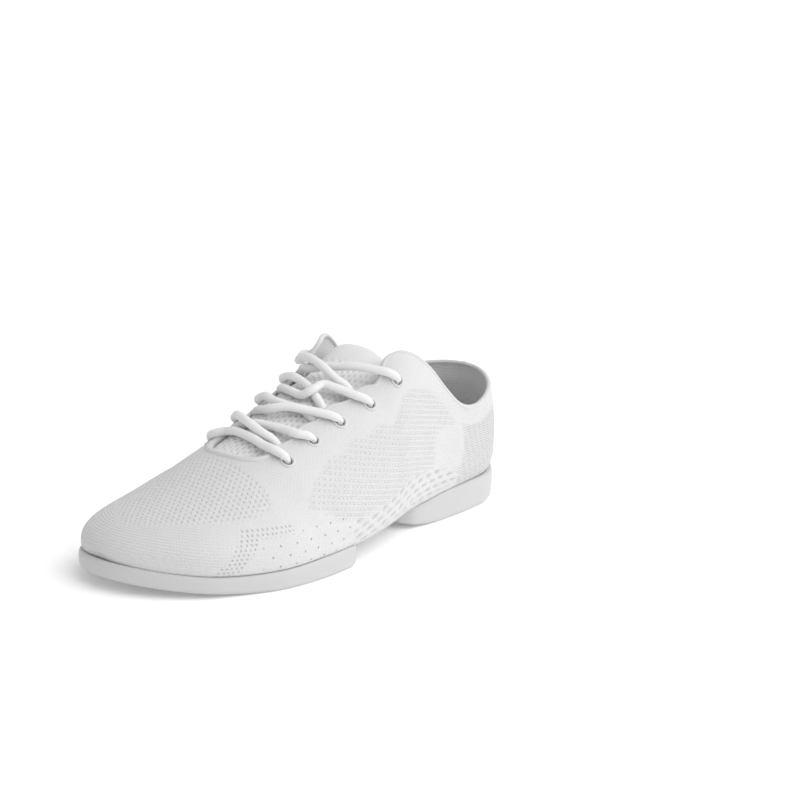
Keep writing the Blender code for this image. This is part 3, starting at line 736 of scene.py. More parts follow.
def knit_material(name, settings, zoned=True, hollows=False, lift=1.0):
    """White knit: fine stitches all over, and each zone's holes and ribs."""
    # A lift above 1 gives a lighter copy of the yarn: painted light, used on the tongue, which lies
    # in shade.
    colour = shade(settings.colour, lift)
    shader = Shader(name, colour, 0.88)
    shader.cloth()
    across, along = shader.map_axes("Over")
    stitch = shader.wave(across, 1.15)
    loops = shader.wave(shader.scaled(stitch, 0.35, along), 0.9)
    fine = shader.times(shader.plus(stitch, loops), 0.5)
    relief = shader.times(fine, 0.25)
    # The gaps between the fine stitches are darkened a little: painted shade.
    painted_shade_and_tone = shader.times(shader.minus(1.0, fine), 0.07)
    if zoned:
        pitch = settings.hole_pitch / MM
        wide, _, height = shader.place()
        course = shader.scaled(along, -RIB_SLOPE, height)
        rib = settings.rib_pitch / MM
        stray = shader.scaled(shader.noise(2.2, 1.0), 1.1, -0.55)
        wander = shader.plus(across, stray)
        drift = shader.plus(along, stray)
        sway = shader.scaled(shader.wave(height, 15.0), 3.4, wide)
        long = shader.times(height, 0.42)
        # Each mark's last number darkens its holes or valleys: painted shade.
        marks = (
            (shader.holes(long, sway, 2.5, 3.4, 0.80, 0.45), "back", 1.0, 0.55),
            (shader.holes(wander, drift, pitch, pitch * 0.78, 0.52, 0.32), "mesh", 0.55, 0.12),
            (shader.holes(drift, course, 2.6, rib, 0.33, 0.25), "quarter", 0.5, 0.40),
            (shader.holes(drift, height, 2.1, 1.8, 0.38, 0.28), "strip", 0.7, 0.34),
            (shader.holes(drift, height, 8.5, 4.6, 0.40, 0.22), "pin", 0.8, 0.8),
            (shader.valleys(shader.attribute("from_rim"), 1.2), "toe", 0.30, 0.11),
            (shader.valleys(height, 1.25), "heel", 0.4, 0.42),
            (shader.valleys(course, rib / 2), "quarter", 0.30, 0.10),
        )
        for pattern, mask, deep, painted_darkening in marks:
            here = shader.times(pattern, shader.attribute(mask))
            relief = shader.minus(relief, shader.times(here, deep))
            painted_shade_and_tone = shader.math("MAXIMUM", painted_shade_and_tone, shader.times(here, painted_darkening))
    # The hollows are darkened as painted shade.
    if zoned or hollows:
        hollow = shader.attribute("hollow")
        painted_shade_and_tone = shader.math("MAXIMUM", painted_shade_and_tone, shader.times(hollow, 0.55))
    # Random blotches of lighter and darker yarn: tone, not shade.
    blotch = shader.fade(shader.noise(14.0), 0.35, 0.65)
    painted_shade_and_tone = shader.plus(painted_shade_and_tone, shader.times(blotch, 0.03))
    shader.blend(painted_shade_and_tone, colour, shade(colour, 0.55))
    shader.bump(relief, 0.55)
    return shader.material


def rubber_material(name, settings, gloss=0.48):
    """Moulded white rubber with a faint grain."""
    colour = tuple(settings.colour)
    shader = Shader(name, colour, gloss)
    shader.principled.inputs["Specular IOR Level"].default_value = 0.4
    grain = shader.noise(0.6, 3.0)
    cloud = shader.fade(shader.noise(22.0), 0.3, 0.7)
    rough = shader.scaled(grain, 0.12, gloss - 0.06)
    shader.put(shader.principled.inputs["Roughness"], rough)
    shader.blend(shader.times(cloud, 0.25), colour, shade(colour, 0.94))
    shader.bump(grain, 0.05, 0.6)
    return shader.material


def lace_material(name, settings):
    """A round braid: two sets of yarns that cross over each other."""
    colour = tuple(settings.colour)
    shader = Shader(name, colour, 0.82)
    shader.cloth(0.35)
    around, along = shader.map_axes("Cord")
    left = shader.plus(around, along)
    right = shader.minus(along, around)
    braid = shader.times(shader.wave(left, 0.85), shader.wave(right, 0.85))
    fuzz = shader.times(shader.noise(0.3, 3.0), 0.9)
    braid = shader.scaled(braid, 0.5, shader.times(fuzz, 0.5))
    # The colour darkens in the gaps between the yarns as painted shade, and with the fuzz as random
    # tone.
    shader.blend(shader.scaled(braid, -0.16, 0.13), colour, shade(colour, 0.6))
    shader.bump(braid, 0.16)
    return shader.material


def lining_material(name, settings, pitch=1.6):
    """Soft lining mesh over thin foam."""
    colour = tuple(settings.colour)
    shader = Shader(name, colour, 0.92)
    shader.cloth(0.4)
    across, along = shader.map_axes("Over")
    dots = shader.holes(across, along, pitch, pitch * 0.87, 0.36, 0.2)
    nap = shader.noise(0.5, 3.0)
    relief = shader.scaled(nap, 0.4, shader.times(dots, -0.6))
    cloud = shader.fade(shader.noise(30.0), 0.3, 0.7)
    # The mesh's dots are darkened as painted shade; the cloud is random tone.
    painted_shade_and_tone = shader.scaled(dots, 0.3, shader.times(cloud, 0.08))
    shader.blend(painted_shade_and_tone, colour, shade(colour, 0.7))
    shader.bump(relief, 0.3)
    return shader.material


def over_map(grid):
    """A UV map of the signed distance from the ridge and the distance along the belt."""
    return np.stack([grid["from_ridge"] * grid["side"], grid["along"]], axis=-1)


FOOT_SHARE = 0.36  # of the way up from the underside's middle, with fewer columns


def make_knit(settings):
    low = np.linspace(0, FOOT_SHARE, 37)
    fractions = np.concatenate([low[:-1], np.linspace(FOOT_SHARE, 1.0, 108)])
    grid = last_grid(stations(0.9), fractions)
    masks = zones(grid)
    rise = knit_height(grid, masks, settings)
    masks["from_rim"] = from_rim(grid["point"])
    edge = ease(grid["from_edge"] / 3.0 + 0.2)
    closed = grid["s"] >= THROAT_FRONT
    rise = rise * np.where(closed, 1.0, edge)
    rise = rise * ease(np.minimum(grid["s"], LENGTH - grid["s"]) / 1.5)
    points = grid["point"] + grid["normal"] * rise[..., None]
    piece = wrap("upper_knit", points, {"Over": over_map(grid)}, masks)
    cut_eyelets(piece)
    return finish(piece, knit_material("white_knit_zones", settings), ["upper"])


def make_lining(settings):
    fractions = np.linspace(0, 1, 60)
    grid = last_grid(stations(2.2), fractions)
    padding = 0.7 * band(grid["from_edge"], 6.0, 24.0, 8.0)
    padding = padding * (1 - ease((grid["s"] - 90.0) / 20.0))
    thick = WALL * (1 + padding) - 0.5 * (1 - ease(grid["from_edge"] / 3.0))
    points = grid["point"] - grid["normal"] * thick[..., None]
    piece = wrap("lining", points, {"Over": over_map(grid)}, inside_out=True)
    cut_eyelets(piece)
    return finish(piece, lining_material("lining_mesh", settings))


def surface_frame(s, side, from_edge):
    """A point at a distance over the surface from the throat's edge, with the
    directions out of the surface and towards the throat."""
    angles = np.linspace(math.pi / 2, top_angle(s, side), 301)
    points = on_last(s, side, angles)
    to_edge = run(points)
    angle = np.interp(to_edge[-1] - from_edge, to_edge, angles)
    point = on_last(s, side, angle)
    up = on_last(s, side, angle + 0.01) - on_last(s, side, angle - 0.01)
    ahead = on_last(s + 0.5, side, angle) - on_last(s - 0.5, side, angle)
    out = np.cross(up, ahead) * side
    return point, unit(out), unit(up)


def eyelet(row, side):
    s, outer, inner = EYELETS[row]
    return s, side, (outer if side > 0 else inner) + scallop(s)


def eased_route(points, per_span):
    """A smooth route through the points."""
    points = np.array(points, float)
    padded = np.concatenate([[2 * points[0] - points[1]], points, [2 * points[-1] - points[-2]]])
    route = []
    for a, b, c, d in zip(padded, padded[1:], padded[2:], padded[3:]):
        for t in np.arange(per_span) / per_span:
            bend = (2 * a - 5 * b + 4 * c - d) * t**2 + (3 * b - a - 3 * c + d) * t**3
            route.append(0.5 * (2 * b + (c - a) * t + bend))
    return np.array([*route, points[-1]])


def sweep(route, profile, closed=False):
    """Rings of a profile (out, sideways) carried along a route, with the distance
    along it. The profile's first axis keeps to the route's own out directions."""
    points, outs = route
    ahead = np.gradient(points, axis=0)
    if closed:
        ahead[0] = ahead[-1] = points[1] - points[-2]
    ahead = unit(ahead)
    outs = unit(outs - np.sum(outs * ahead, axis=1, keepdims=True) * ahead)
    sideways = np.cross(ahead, outs)
    rings = points[:, None] + outs[:, None] * profile[..., :1]
    rings = rings + sideways[:, None] * profile[..., 1:]
    return rings, run(points)


def circle(count):
    turn = np.linspace(0, 2 * math.pi, count + 1)
    return np.stack([np.cos(turn), np.sin(turn)], axis=-1)


def rim_route():
    """The upper's top edge as a closed route, with the directions out of it."""
    rows = np.concatenate([
        HEEL_ROUND * (1 - np.cos(np.linspace(0, math.pi / 2, 24)))[1:],
        np.linspace(HEEL_ROUND, THROAT_FRONT - THROAT_ROUND, 130)[1:],
        THROAT_FRONT - THROAT_ROUND * (1 - np.sin(np.linspace(0, math.pi / 2, 18)))[1:-1],
    ])
    points, outs = [], []
    for side in (1, -1):
        found = [surface_frame(s, side, 0.0) for s in rows]
        edge = [point for point, _, _ in found]
        normal = [out for _, out, _ in found]
        points += edge if side > 0 else edge[::-1]
        outs += normal if side > 0 else normal[::-1]
        if side > 0:
            front, out, _ = surface_frame(THROAT_FRONT + 0.2, 1, 0.0)
            points.append(front)
            outs.append(np.array([0.0, -0.4, 0.9]))
    back = on_last(0.0, 1, top_angle(0.0, 1))
    points = np.array([back, *points, back])
    outs = np.array([(0, 1, 0.1), *outs, (0, 1, 0.1)])
    return points, outs


def make_rim(settings):
    """The rolled edge round the collar and throat."""
    points, outs = rim_route()
    outs = unit(outs)
    s = LENGTH / 2 - points[:, 1]
    front = ease((s - 170.0) / 14.0)
    size = 1.25 + 0.45 * front
    points = points - outs * (1.0 - 0.35 * front)[:, None]
    profile = circle(16)[None] * size[:, None, None] * np.array([1.0, 0.95])
    rings, along = sweep((points, outs), profile, closed=True)
    around = np.linspace(0, 2 * math.pi * 1.3, 17)
    over = np.stack(np.meshgrid(around, along), axis=-1)
    piece = wrap("rolled_edge", rings, {"Over": over})
    return finish(piece, knit_material("rolled_knit", settings, zoned=False))


def make_eyelets(settings):
    """Ten soft rings, modelled once and copied, each with the sleeve of its hole."""
    places = [(row, side) for row in range(len(EYELETS)) for side in (1, -1)]
    made = [eyelet_ring()]
    for _ in places[1:]:
        ring = made[0].copy()
        ring.data = made[0].data.copy()
        bpy.context.scene.collection.objects.link(ring)
        made.append(ring)
    for ring, place in zip(made, places):
        point, out, up = surface_frame(*eyelet(*place))
        turn = Matrix((np.cross(up, out), up, out)).transposed().to_4x4()
        turn.translation = placed(point)
        ring.data.transform(turn)
    deselect()
    for ring in made:
        ring.select_set(True)
    bpy.context.view_layer.objects.active = made[0]
    bpy.ops.object.join()
    piece = bpy.context.object
    piece.name = "eyelet_rings"
    bpy.ops.object.shade_smooth()
    return finish(piece, knit_material("ring_knit", settings, zoned=False))


def eyelet_ring():
    """A ring turned round +Z, with its face towards +Z."""
    profile = np.array([
        (3.55, -0.25), (3.40, 0.22), (3.05, 0.52), (2.65, 0.58), (2.32, 0.38), (2.15, 0.0),
        (2.10, -0.8), (2.10, -2.3), (2.35, -2.75), (2.75, -2.7), (2.9, -2.2), (2.9, -0.6),
        (3.55, -0.25),
    ])
    turn = np.linspace(0, 2 * math.pi, 29)
    points = np.array([[(r * math.cos(a), r * math.sin(a), z) for a in turn] for r, z in profile])
    over = np.stack(np.meshgrid(turn * 3.0, np.arange(len(profile)) * 0.5), axis=-1)
    return wrap("eyelet", points + np.array(ORIGIN), {"Over": over})


def rim_height(s, side):
    return smooth(RIM, RIM_COLUMNS, "outer" if side > 0 else "inner", s)


def rim_plan(s, side):
    """The upper's outline at a sole's rim, seen from above."""
    plan = cap(s / HEEL_ROUND, 2.2) * cap((LENGTH - s) / TOE_ROUND, 2.2)
    belt = last("belt", s)
    down = np.clip((belt - rim_height(s, side)) / (belt - last("under", s)), 0, 1)
    square = last("low_square", s)
    out = (1 - down ** square) ** (1 / square)
    return np.array([last("middle", s) + side * last("half", s) * plan * out, LENGTH / 2 - s])


def end_rows(start, end, reach):
    """Distances from the heel, from a sole's inner end out to its round end."""
    turn = end - reach * np.sign(end - start) * (1 - np.sin(np.linspace(0, math.pi / 2, 40)))
    straight = np.linspace(start, turn[0], max(3, int(abs(turn[0] - start) / 2.0)))
    return np.concatenate([straight[:-1], turn])


def side_plan(start, end, reach, side):
    """One side of a sole's outline, standing out from the upper."""
    rows = end_rows(start, end, reach)
    plan = np.array([rim_plan(s, side) for s in rows])
    along = np.gradient(plan, axis=0)
    normal = np.stack([along[:, 1], -along[:, 0]], axis=1) * -side * np.sign(end - start)
    normal = unit(normal)
    normal[-1] = (0, -np.sign(end - start))
    return plan + normal * smooth(RIM, RIM_COLUMNS, "out", rows)[:, None]


def corner(before, tip, after, radius):
    """A rounded corner of an outline, as points."""
    start = tip + unit(before - tip) * radius
    stop = tip + unit(after - tip) * radius
    turn = np.linspace(0, 1, 9)
    return [start * (1 - t) ** 2 + tip * 2 * t * (1 - t) + stop * t * t for t in turn]


def beyond(plan, tip, radius):
    """The outline's points that lie outside a corner's rounding."""
    return [point for point in plan if np.linalg.norm(point - tip) > radius]


def sole_plan(outer, inner, edge, radii):
    """A sole's outline: its sides and its inner end's edge, with rounded corners."""
    tip_in, tip_out = inner[-1], outer[0]
    kept_in = beyond(inner, tip_in, radii[1])
    kept_out = beyond(outer, tip_out, radii[0])
    corner_in = corner(kept_in[-1], tip_in, edge[0], radii[1])
    corner_out = corner(edge[-1], tip_out, kept_out[0], radii[0])
    return np.array([*kept_out, *kept_in[1:], *corner_in, *edge, *corner_out])


def forefoot_plan():
    outer = side_plan(FOREFOOT_REAR[0], LENGTH, TOE_ROUND, 1)
    inner = side_plan(FOREFOOT_REAR[1], LENGTH, TOE_ROUND, -1)[::-1]
    edge = [inner[-1] + (outer[0] - inner[-1]) * t for t in np.linspace(0.15, 0.9, 30)]
    return sole_plan(outer, inner, edge, REAR_CORNER)


def heel_front(x):
    """The heel sole's curved front edge, as a distance from the heel."""
    half = last("half", HEEL_FRONT[0])
    t = np.clip((x - last("middle", HEEL_FRONT[0])) / half, -1, 1)
    return HEEL_FRONT[1] - (HEEL_FRONT[1] - HEEL_FRONT[0]) * t * t


def forefoot_rear():
    """The slanting rear edge's ends, as (across, from_heel) pairs."""
    ends = zip(FOREFOOT_REAR[::-1], (-1, 1))
    tips = [side_plan(place, LENGTH, TOE_ROUND, side)[0] for place, side in ends]
    return [(x, LENGTH / 2 - y) for x, y in tips]


def heel_plan():
    outer = side_plan(HEEL_FRONT[0], 0.0, HEEL_ROUND, 1)
    inner = side_plan(HEEL_FRONT[0], 0.0, HEEL_ROUND, -1)[::-1]
    across = np.linspace(inner[-1][0], outer[0][0], 41)
    front = np.array([(x, LENGTH / 2 - heel_front(x)) for x in across])
    return sole_plan(outer, inner, front[3:-3], HEEL_CORNER)


def outline_at(plan, hub, turn):
    """The outline's distance from the hub in each direction."""
    offset = plan - (hub[0], LENGTH / 2 - hub[1])
    angle = np.arctan2(offset[:, 1], offset[:, 0])
    order = np.argsort(angle)
    reach = np.linalg.norm(offset, axis=1)[order]
    return np.interp(turn, angle[order], reach, period=2 * math.pi)


def ground(s, lifts):
    """The height of a sole's underside: each lift runs from one place to another."""
    return sum(high * np.clip((s - start) / (end - start), 0, 1) ** 2 for start, end, high in lifts)


def groove_relief(reach, angle, grooves, settings):
    """How deep the tread is cut at each point, in millimetres."""
    half = settings.groove_width / MM / 2
    deep = settings.groove_depth / MM
    cut = DIMPLE[1] * ease(1.15 - reach / DIMPLE[0])
    for radius, start, stop in grooves:
        middle, spread = (start + stop) / 2, (stop - start) / 2
        off = np.abs((angle - middle + 180.0) % 360.0 - 180.0) - spread
        past = np.radians(np.maximum(off, 0)) * radius
        away = np.hypot(reach - radius, past if stop - start < 360 else 0)
        cut = np.maximum(cut, deep * ease(1.6 - away / half))
    return cut


def sole_radii(grooves):
    """Distances from the hub at which the underside needs a ring of points."""
    radii = set(np.round(np.arange(0.8, 60.0, 1.6), 2))
    for radius in {row[0] for row in grooves}:
        radii = {r for r in radii if abs(r - radius) > 1.3}
        radii |= {round(radius + step, 2) for step in (-0.95, -0.6, -0.35, 0.0, 0.35, 0.6, 0.95)}
    return np.array(sorted(radii))


def make_sole(name, plan, hub, lifts, end, grooves, settings):
    """A sole as rings round its hub: the tread, its rounded edge, the side, the rim,
    and back under the foot along the upper."""
    turn = np.linspace(0, 2 * math.pi, 361)
    away = np.stack([np.cos(turn), np.sin(turn)], axis=-1)
    base = np.array([hub[0], LENGTH / 2 - hub[1]])
    reach = outline_at(plan, hub, turn)
    edge = base + away * reach[:, None]
    s = LENGTH / 2 - edge[:, 1]
    across = (edge[:, 0] - last("middle", s)) / last("half", s)
    inner = ease(0.5 - across * 0.9)
    rims = rim_height(s, 1) * (1 - inner) + rim_height(s, -1) * inner
    inner = inner * ease(np.abs(s - end) / 30.0)
    inset = smooth(RIM, RIM_COLUMNS, "inset", s)
    inset = inset + (INNER_INSET - inset) * inner
    slope = EDGE_ROUND + 1.6 * inner
    inset = np.maximum(inset, EDGE_ROUND * 0.8)
    angle = np.degrees(np.arctan2(away[:, 0], -away[:, 1]))
    tread = reach - inset
    radii = sole_radii(grooves)
    rings = []

    def ring(reach, height):
        rings.append(np.column_stack([base + away * reach[:, None], height]))

    for index, radius in enumerate(radii):
        room = tread - (len(radii) - index) * 0.03
        r = np.minimum(radius, room)
        behind = LENGTH / 2 - (base + away * r[:, None])[:, 1]
        share = ease((r / tread - FLAT[0]) / (FLAT[1] - FLAT[0]))
        cut = groove_relief(r, angle, grooves, settings) * (radius < tread - 0.5)
        ring(r, ground(behind, lifts) * share + cut)
    floor = ground(LENGTH / 2 - (base + away * tread[:, None])[:, 1], lifts)
    for t in np.linspace(0, math.pi / 2, 7):
        ring(tread + inset * math.sin(t) * 0.999, floor + slope * (1 - math.cos(t)))
    low = floor + slope
    for t, step in SOLE_SIDE:
        ring(reach - step, low + (rims - low) * t)
    top = reach - smooth(RIM, RIM_COLUMNS, "out", s) - RIM_TUCK
    for drop, share in UNDER_RIM:
        ring(top * share, np.maximum(rims - drop, 3.0))
    points = np.array(rings)
    heart = np.concatenate([base, [DIMPLE[1]]])
    points = np.concatenate([np.broadcast_to(heart, (1, *points.shape[1:])), points])
    crown = np.broadcast_to([*base, points[-1, 0, 2]], (1, *points.shape[1:]))
    return wrap(name, np.concatenate([points, crown]))


def make_soles(settings):
    surface = rubber_material("moulded_rubber", settings)
    soles = (
        ("forefoot", forefoot_plan(), FOREFOOT_HUB, (SPRING,), LENGTH, FOREFOOT_GROOVES),
        ("heel", heel_plan(), HEEL_HUB, (HEEL_LIP, HEEL_LIFT), 0.0, HEEL_GROOVES),
    )
    for name, *shape in soles:
        piece = make_sole(f"{name}_tread", *shape, settings)
        finish(piece, surface, [f"{name}_sole"])


def under_foot(s, across):
    """The underside's point at a fraction across its half width, -1 to 1."""
    angle = np.arcsin(np.abs(across) ** (last("low_square", s) / 2))
    return on_last(s, np.where(across < 0, -1, 1), angle)


def make_arch_strip(settings):
    """The smooth strip between the soles, with a thin raised line along each side."""
    offsets = np.linspace(-1, 1, 41)
    ridge = 0.35 * np.exp(-(((np.abs(offsets) - 0.84) / 0.06) ** 2))
    face = STRIP * (1 - np.abs(offsets) ** 10) * 0.85 + ridge
    x = STRIP_MIDDLE + STRIP_HALF * offsets
    rear = heel_front(x) + STRIP_GAP
    (x_in, s_in), (x_out, s_out) = forefoot_rear()
    front = s_in + (s_out - s_in) * (x - x_in) / (x_out - x_in) - STRIP_GAP
    rings = []
    for t in np.linspace(0, 1, 90):
        s = rear + t * (front - rear)
        point = under_foot(s, (x - last("middle", s)) / last("half", s))
        high = point - upright(0 * x + STRIP_SINK)
        rings.append(np.concatenate([high, (high - upright(face))[::-1]]))
    rings = np.array(rings)
    first = np.broadcast_to(rings[0].mean(axis=0), rings[:1].shape)
    final = np.broadcast_to(rings[-1].mean(axis=0), rings[:1].shape)
    piece = loft("arch_band", np.concatenate([first, rings, final]))
    surface = rubber_material("strip_rubber", settings, 0.58)
    return finish(piece, surface, ["arch_strip"])


def section_over(across, s):
    """A UV row round a flat section: over its top, back underneath, and closed."""
    row = np.concatenate([across, across[::-1][1:-1], across[:1]])
    return np.stack([row, np.full(len(row), s)], axis=-1)


def make_insole(settings):
    """The footbed: a foam sheet whose edge turns up a little along the walls."""
    start, end = INSOLE_ENDS
    turn = INSOLE_ROUND * (1 - np.cos(np.linspace(0, math.pi / 2, 16)))
    middle = np.linspace(start + INSOLE_ROUND, end - INSOLE_ROUND, 60)[1:-1]
    t = np.linspace(-1, 1, 41)
    rows = np.concatenate([start + turn, middle, end - turn[::-1]])
    rings, over = [], []
    for s in rows:
        fit = INSOLE_FIT * cap((s - start) / INSOLE_ROUND) * cap((end - s) / INSOLE_ROUND)
        low = under_foot(s, t * fit) + (0, 0, WALL + INSOLE_LIFT)
        round_off = (1 - np.abs(t) ** 8) ** 0.5
        ends = min(1.0, cap((s - start) / 3.0), cap((end - s) / 3.0))
        high = low + upright(INSOLE_THICK * round_off * ends)
        rings.append(np.concatenate([high, low[::-1][1:-1]]))
        over.append(section_over(high[:, 0], s))
    piece = loft("footbed", np.array(rings), {"Over": np.array(over)})
    return finish(piece, lining_material("footbed_cloth", settings, 1.3), ["insole"])


def across_ridge(s, distances):
    """The surface's points at signed distances across from the ridge."""
    distances = np.asarray(distances, float)
    found = np.empty((len(distances), 3))
    for side in (1, -1):
        points = on_last(s, side, UPPER_HALF)
        across = np.abs(points[:, 0] - points[-1, 0])
        mine = (distances < 0) == (side < 0)
        angle = np.interp(-np.abs(distances[mine]), -across, UPPER_HALF)
        found[mine] = on_last(s, side, angle)
    return found


def tongue_section(place, t):
    """The tongue's upper face, its thickness and how far each point is across."""
    s = TONGUE_ENDS[0] + (TONGUE_ENDS[1] - TONGUE_ENDS[0]) * place
    length = TONGUE_ENDS[0] - TONGUE_ENDS[1]
    half = TONGUE_HALF[0] + (TONGUE_HALF[1] - TONGUE_HALF[0]) * place
    half *= 0.35 + 0.65 * cap((1 - place) / 0.12, 2.2)
    drop = TONGUE_TOP + (TONGUE_END - TONGUE_TOP) * ease((place - 0.55) / 0.35)
    drop = drop + TONGUE_SETTLE * place**6 + TONGUE_SINK * np.abs(t) ** 3
    front = 1 - ease(place / 0.14)
    high = across_ridge(s, t * half) - upright(drop + TONGUE_TIP[0] * front)
    ends = min(1.0, cap((1 - place) * length / 3.0), cap(place * length / 2.0 + 0.05))
    thick = (TONGUE_PAD - TONGUE_TIP[1] * front) * (1 - np.abs(t) ** 5) ** 0.6 * ends
    high[:, 2] -= (1 - ends) * TONGUE_PAD / 2
    return s, high, thick, t * half


def make_tongue(settings):
    """The padded tongue: its knit has rows of small lens-shaped holes."""
    t = np.linspace(-1, 1, 91)
    rings, over, hollows = [], [], []
    for place in np.linspace(0, 1, 190):
        s, high, thick, across = tongue_section(place, t)
        dots = lens(np.full_like(t, s), across + 200.0, 3.6, 2.1, 1.35, 0.8)
        plain = (1 - ease((place - 0.86) / 0.03)) * ease((0.93 - np.abs(t)) / 0.05)
        high = high - upright(TONGUE_HOLLOW * dots * plain)
        low = high - upright(thick)
        rings.append(np.concatenate([high, low[::-1][1:-1]]))
        hollows.append(np.concatenate([dots * plain, np.zeros(len(t) - 1)]))
        over.append(section_over(across, s))
    maps, masks = {"Over": np.array(over)}, {"hollow": np.array(hollows)}
    piece = loft("tongue_pad", np.array(rings), maps, masks)
    # The tongue's knit is the yarn made 1.22 times lighter: painted light against the shade it lies
    # in. Its holes are darkened as painted shade.
    surface = knit_material("tongue_knit", settings, zoned=False, hollows=True, lift=1.22)
    return finish(piece, surface, ["tongue"])


def lace_point(s, across, lift):
    """A point over the surface, at a distance across from the ridge."""
    left, point, right = across_ridge(s, [across - 0.5, across, across + 0.5])
    ahead = across_ridge(s + 0.5, [across])[0] - across_ridge(s - 0.5, [across])[0]
    out = np.cross(ahead, right - left)
    return point + unit(out) * np.sign(out[2]) * lift


def into_hole(row, side, ahead, radius):
    """A cord's points from over the throat's edge, over an eyelet and down it."""
    s, _, from_edge = eyelet(row, side)
    over = radius + 0.35
    edge, edge_out, _ = surface_frame(s + ahead, side, 0.8)
    near, near_out, _ = surface_frame(s + ahead * 0.42, side, from_edge * 0.62)
    hole, out, up = surface_frame(s, side, from_edge)
    return [
        edge + edge_out * over,
        near + near_out * over * 0.9,
        hole + out * radius * 0.25 + up * 0.5,
        hole - out * 3.4 + up * 0.3,
    ]


def from_under(s, side):
    """A cord's first points: under the flap, then out from under its edge."""
    edge, out, up = surface_frame(s, side, 0.0)
    inside, inside_out, _ = surface_frame(s, side, 5.0)
    return [inside - inside_out * 4.4, edge - out * 2.5 + up * 0.5]


def cord(name, points, radius, holes):
    """A soft round cord along the points, with a UV map in its own length. It is
    squeezed where it goes into a hole, at its first (0) or last (-1) end."""
    route = eased_route(points, 10)
    outs = np.broadcast_to(np.array([0.05, -0.25, 1.0]), route.shape).copy()
    steps = np.arange(len(route))
    squeeze = np.ones(len(route))
    for end in holes:
        off = steps if end == 0 else steps[::-1]
        squeeze *= 0.74 + 0.26 * ease((off - 10.0) / 10.0)
    wobble = 1 + 0.025 * np.sin(steps * 0.9) * np.sin(steps * 0.37)
    size = radius * (squeeze * wobble)[:, None, None]
    profile = circle(20)[None] * np.array([0.97, 1.03]) * size
    rings, along = sweep((route, outs), profile)
    around = np.linspace(0, 2 * math.pi * radius, 21)
    ends = [np.broadcast_to(route[i], rings[:1].shape) for i in (0, -1)]
    rings = np.concatenate([ends[0], rings, ends[1]])
    along = np.concatenate([[along[0]], along, [along[-1]]])
    return wrap(name, rings, {"Cord": np.stack(np.meshgrid(around, along), axis=-1)})


# The front bar's own points between its eyelets: from_heel, across, lift.
BAR = ((174.5, -10.0, 0.9), (175.6, -3.0, 0.9), (176.6, 7.0, 0.9), (177.2, 14.0, 1.3))
# The other cords: the eyelet's row and side, from_heel where the cord comes out
# from under the other side's edge, and its points over the tongue.
CORDS = (
    (1, 1, 171.0, ((170.0, -8.0, 0.0), (168.5, 0.0, 0.0), (167.4, 5.5, 0.1), (165.2, 14.5, 0.9))),
    (1, -1, 171.5, ((172.0, 14.0, 0.4), (172.7, 8.0, 2.2), (171.5, 0.2, 3.6), (167.3, -8.5, 4.1))),
    (2, 1, 154.5, ((157.5, -9.0, -0.4), (160.0, -2.3, 0.9), (159.6, 2.9, 2.6), (156.5, 8.1, 3.1),
                   (153.3, 13.5, 2.9))),
    (2, -1, 150.5, ((151.0, 13.5, -0.3), (153.0, 5.5, -0.1), (153.5, -1.7, 0.8),
                    (150.2, -8.5, 2.2))),
    (3, 1, 135.0, ((141.0, -9.0, 0.0), (145.2, 0.0, 0.3), (145.7, 7.4, 1.0), (142.7, 11.0, 3.4),
                   (136.8, 12.4, 3.0), (133.7, 17.4, 2.4))),
    (3, -1, 143.5, ((142.6, 14.5, 0.0), (141.0, 9.5, 0.0), (139.3, 4.0, 0.9), (137.0, -4.5, 2.2))),
    (4, 1, 121.0, ((126.0, -9.0, 0.0), (128.5, -2.6, 0.0), (125.4, 3.8, 0.0), (123.0, 9.6, 0.3),
                   (118.8, 17.0, 1.2))),
    (4, -1, 128.0, ((128.5, 19.1, 0.5), (129.9, 14.3, 2.0), (128.4, 4.9, 3.7), (125.4, -4.0, 4.1),
                    (121.5, -10.6, 3.2))),
)
# How far ahead of its eyelet a cord crosses the throat's edge, on the outer side (1)
# and the inner side (-1), and at the inner top eyelet.
OVER_EDGE = {1: 5.3, -1: 3.6}
OVER_TOP = 8.5


def make_laces(settings):
    surface = lace_material("braided_cord", settings)
    radius = settings.radius / MM
    middle = [lace_point(*place) for place in BAR]
    outer, inner = into_hole(0, 1, 2.0, radius), into_hole(0, -1, 1.5, radius)
    bar = cord("lace_front", [*inner[::-1], *middle, *outer], radius, (0, -1))
    finish(bar, surface, ["lace_bar"])
    for row, side, start, places in CORDS:
        middle = [lace_point(*place) for place in places]
        ahead = OVER_TOP if (row, side) == (len(EYELETS) - 1, -1) else OVER_EDGE[side]
        points = [*from_under(start, -side), *middle, *into_hole(row, side, ahead, radius)]
        word = "outer" if side > 0 else "inner"
        piece = cord(f"lace_{row}_{word}", points, radius, (-1,))
        finish(piece, surface, [f"lace_crossing_{row}"])


FLOOR_SIZE = 200.0
KEY_PLACE = (0.62, 0.28, 0.74)
KEY_SOFTNESS = 1.4
CAMERA_PLACE = (0.51072, -0.61439, 0.26427)
# Where the camera's right, its top and its back point.
CAMERA_AXES = (
    (0.78873, 0.61240, 0.05351),
    (-0.18802, 0.15745, 0.96946),
    (0.58528, -0.77471, 0.23933),
)
SENSOR = 36.0
LENS = 78.79


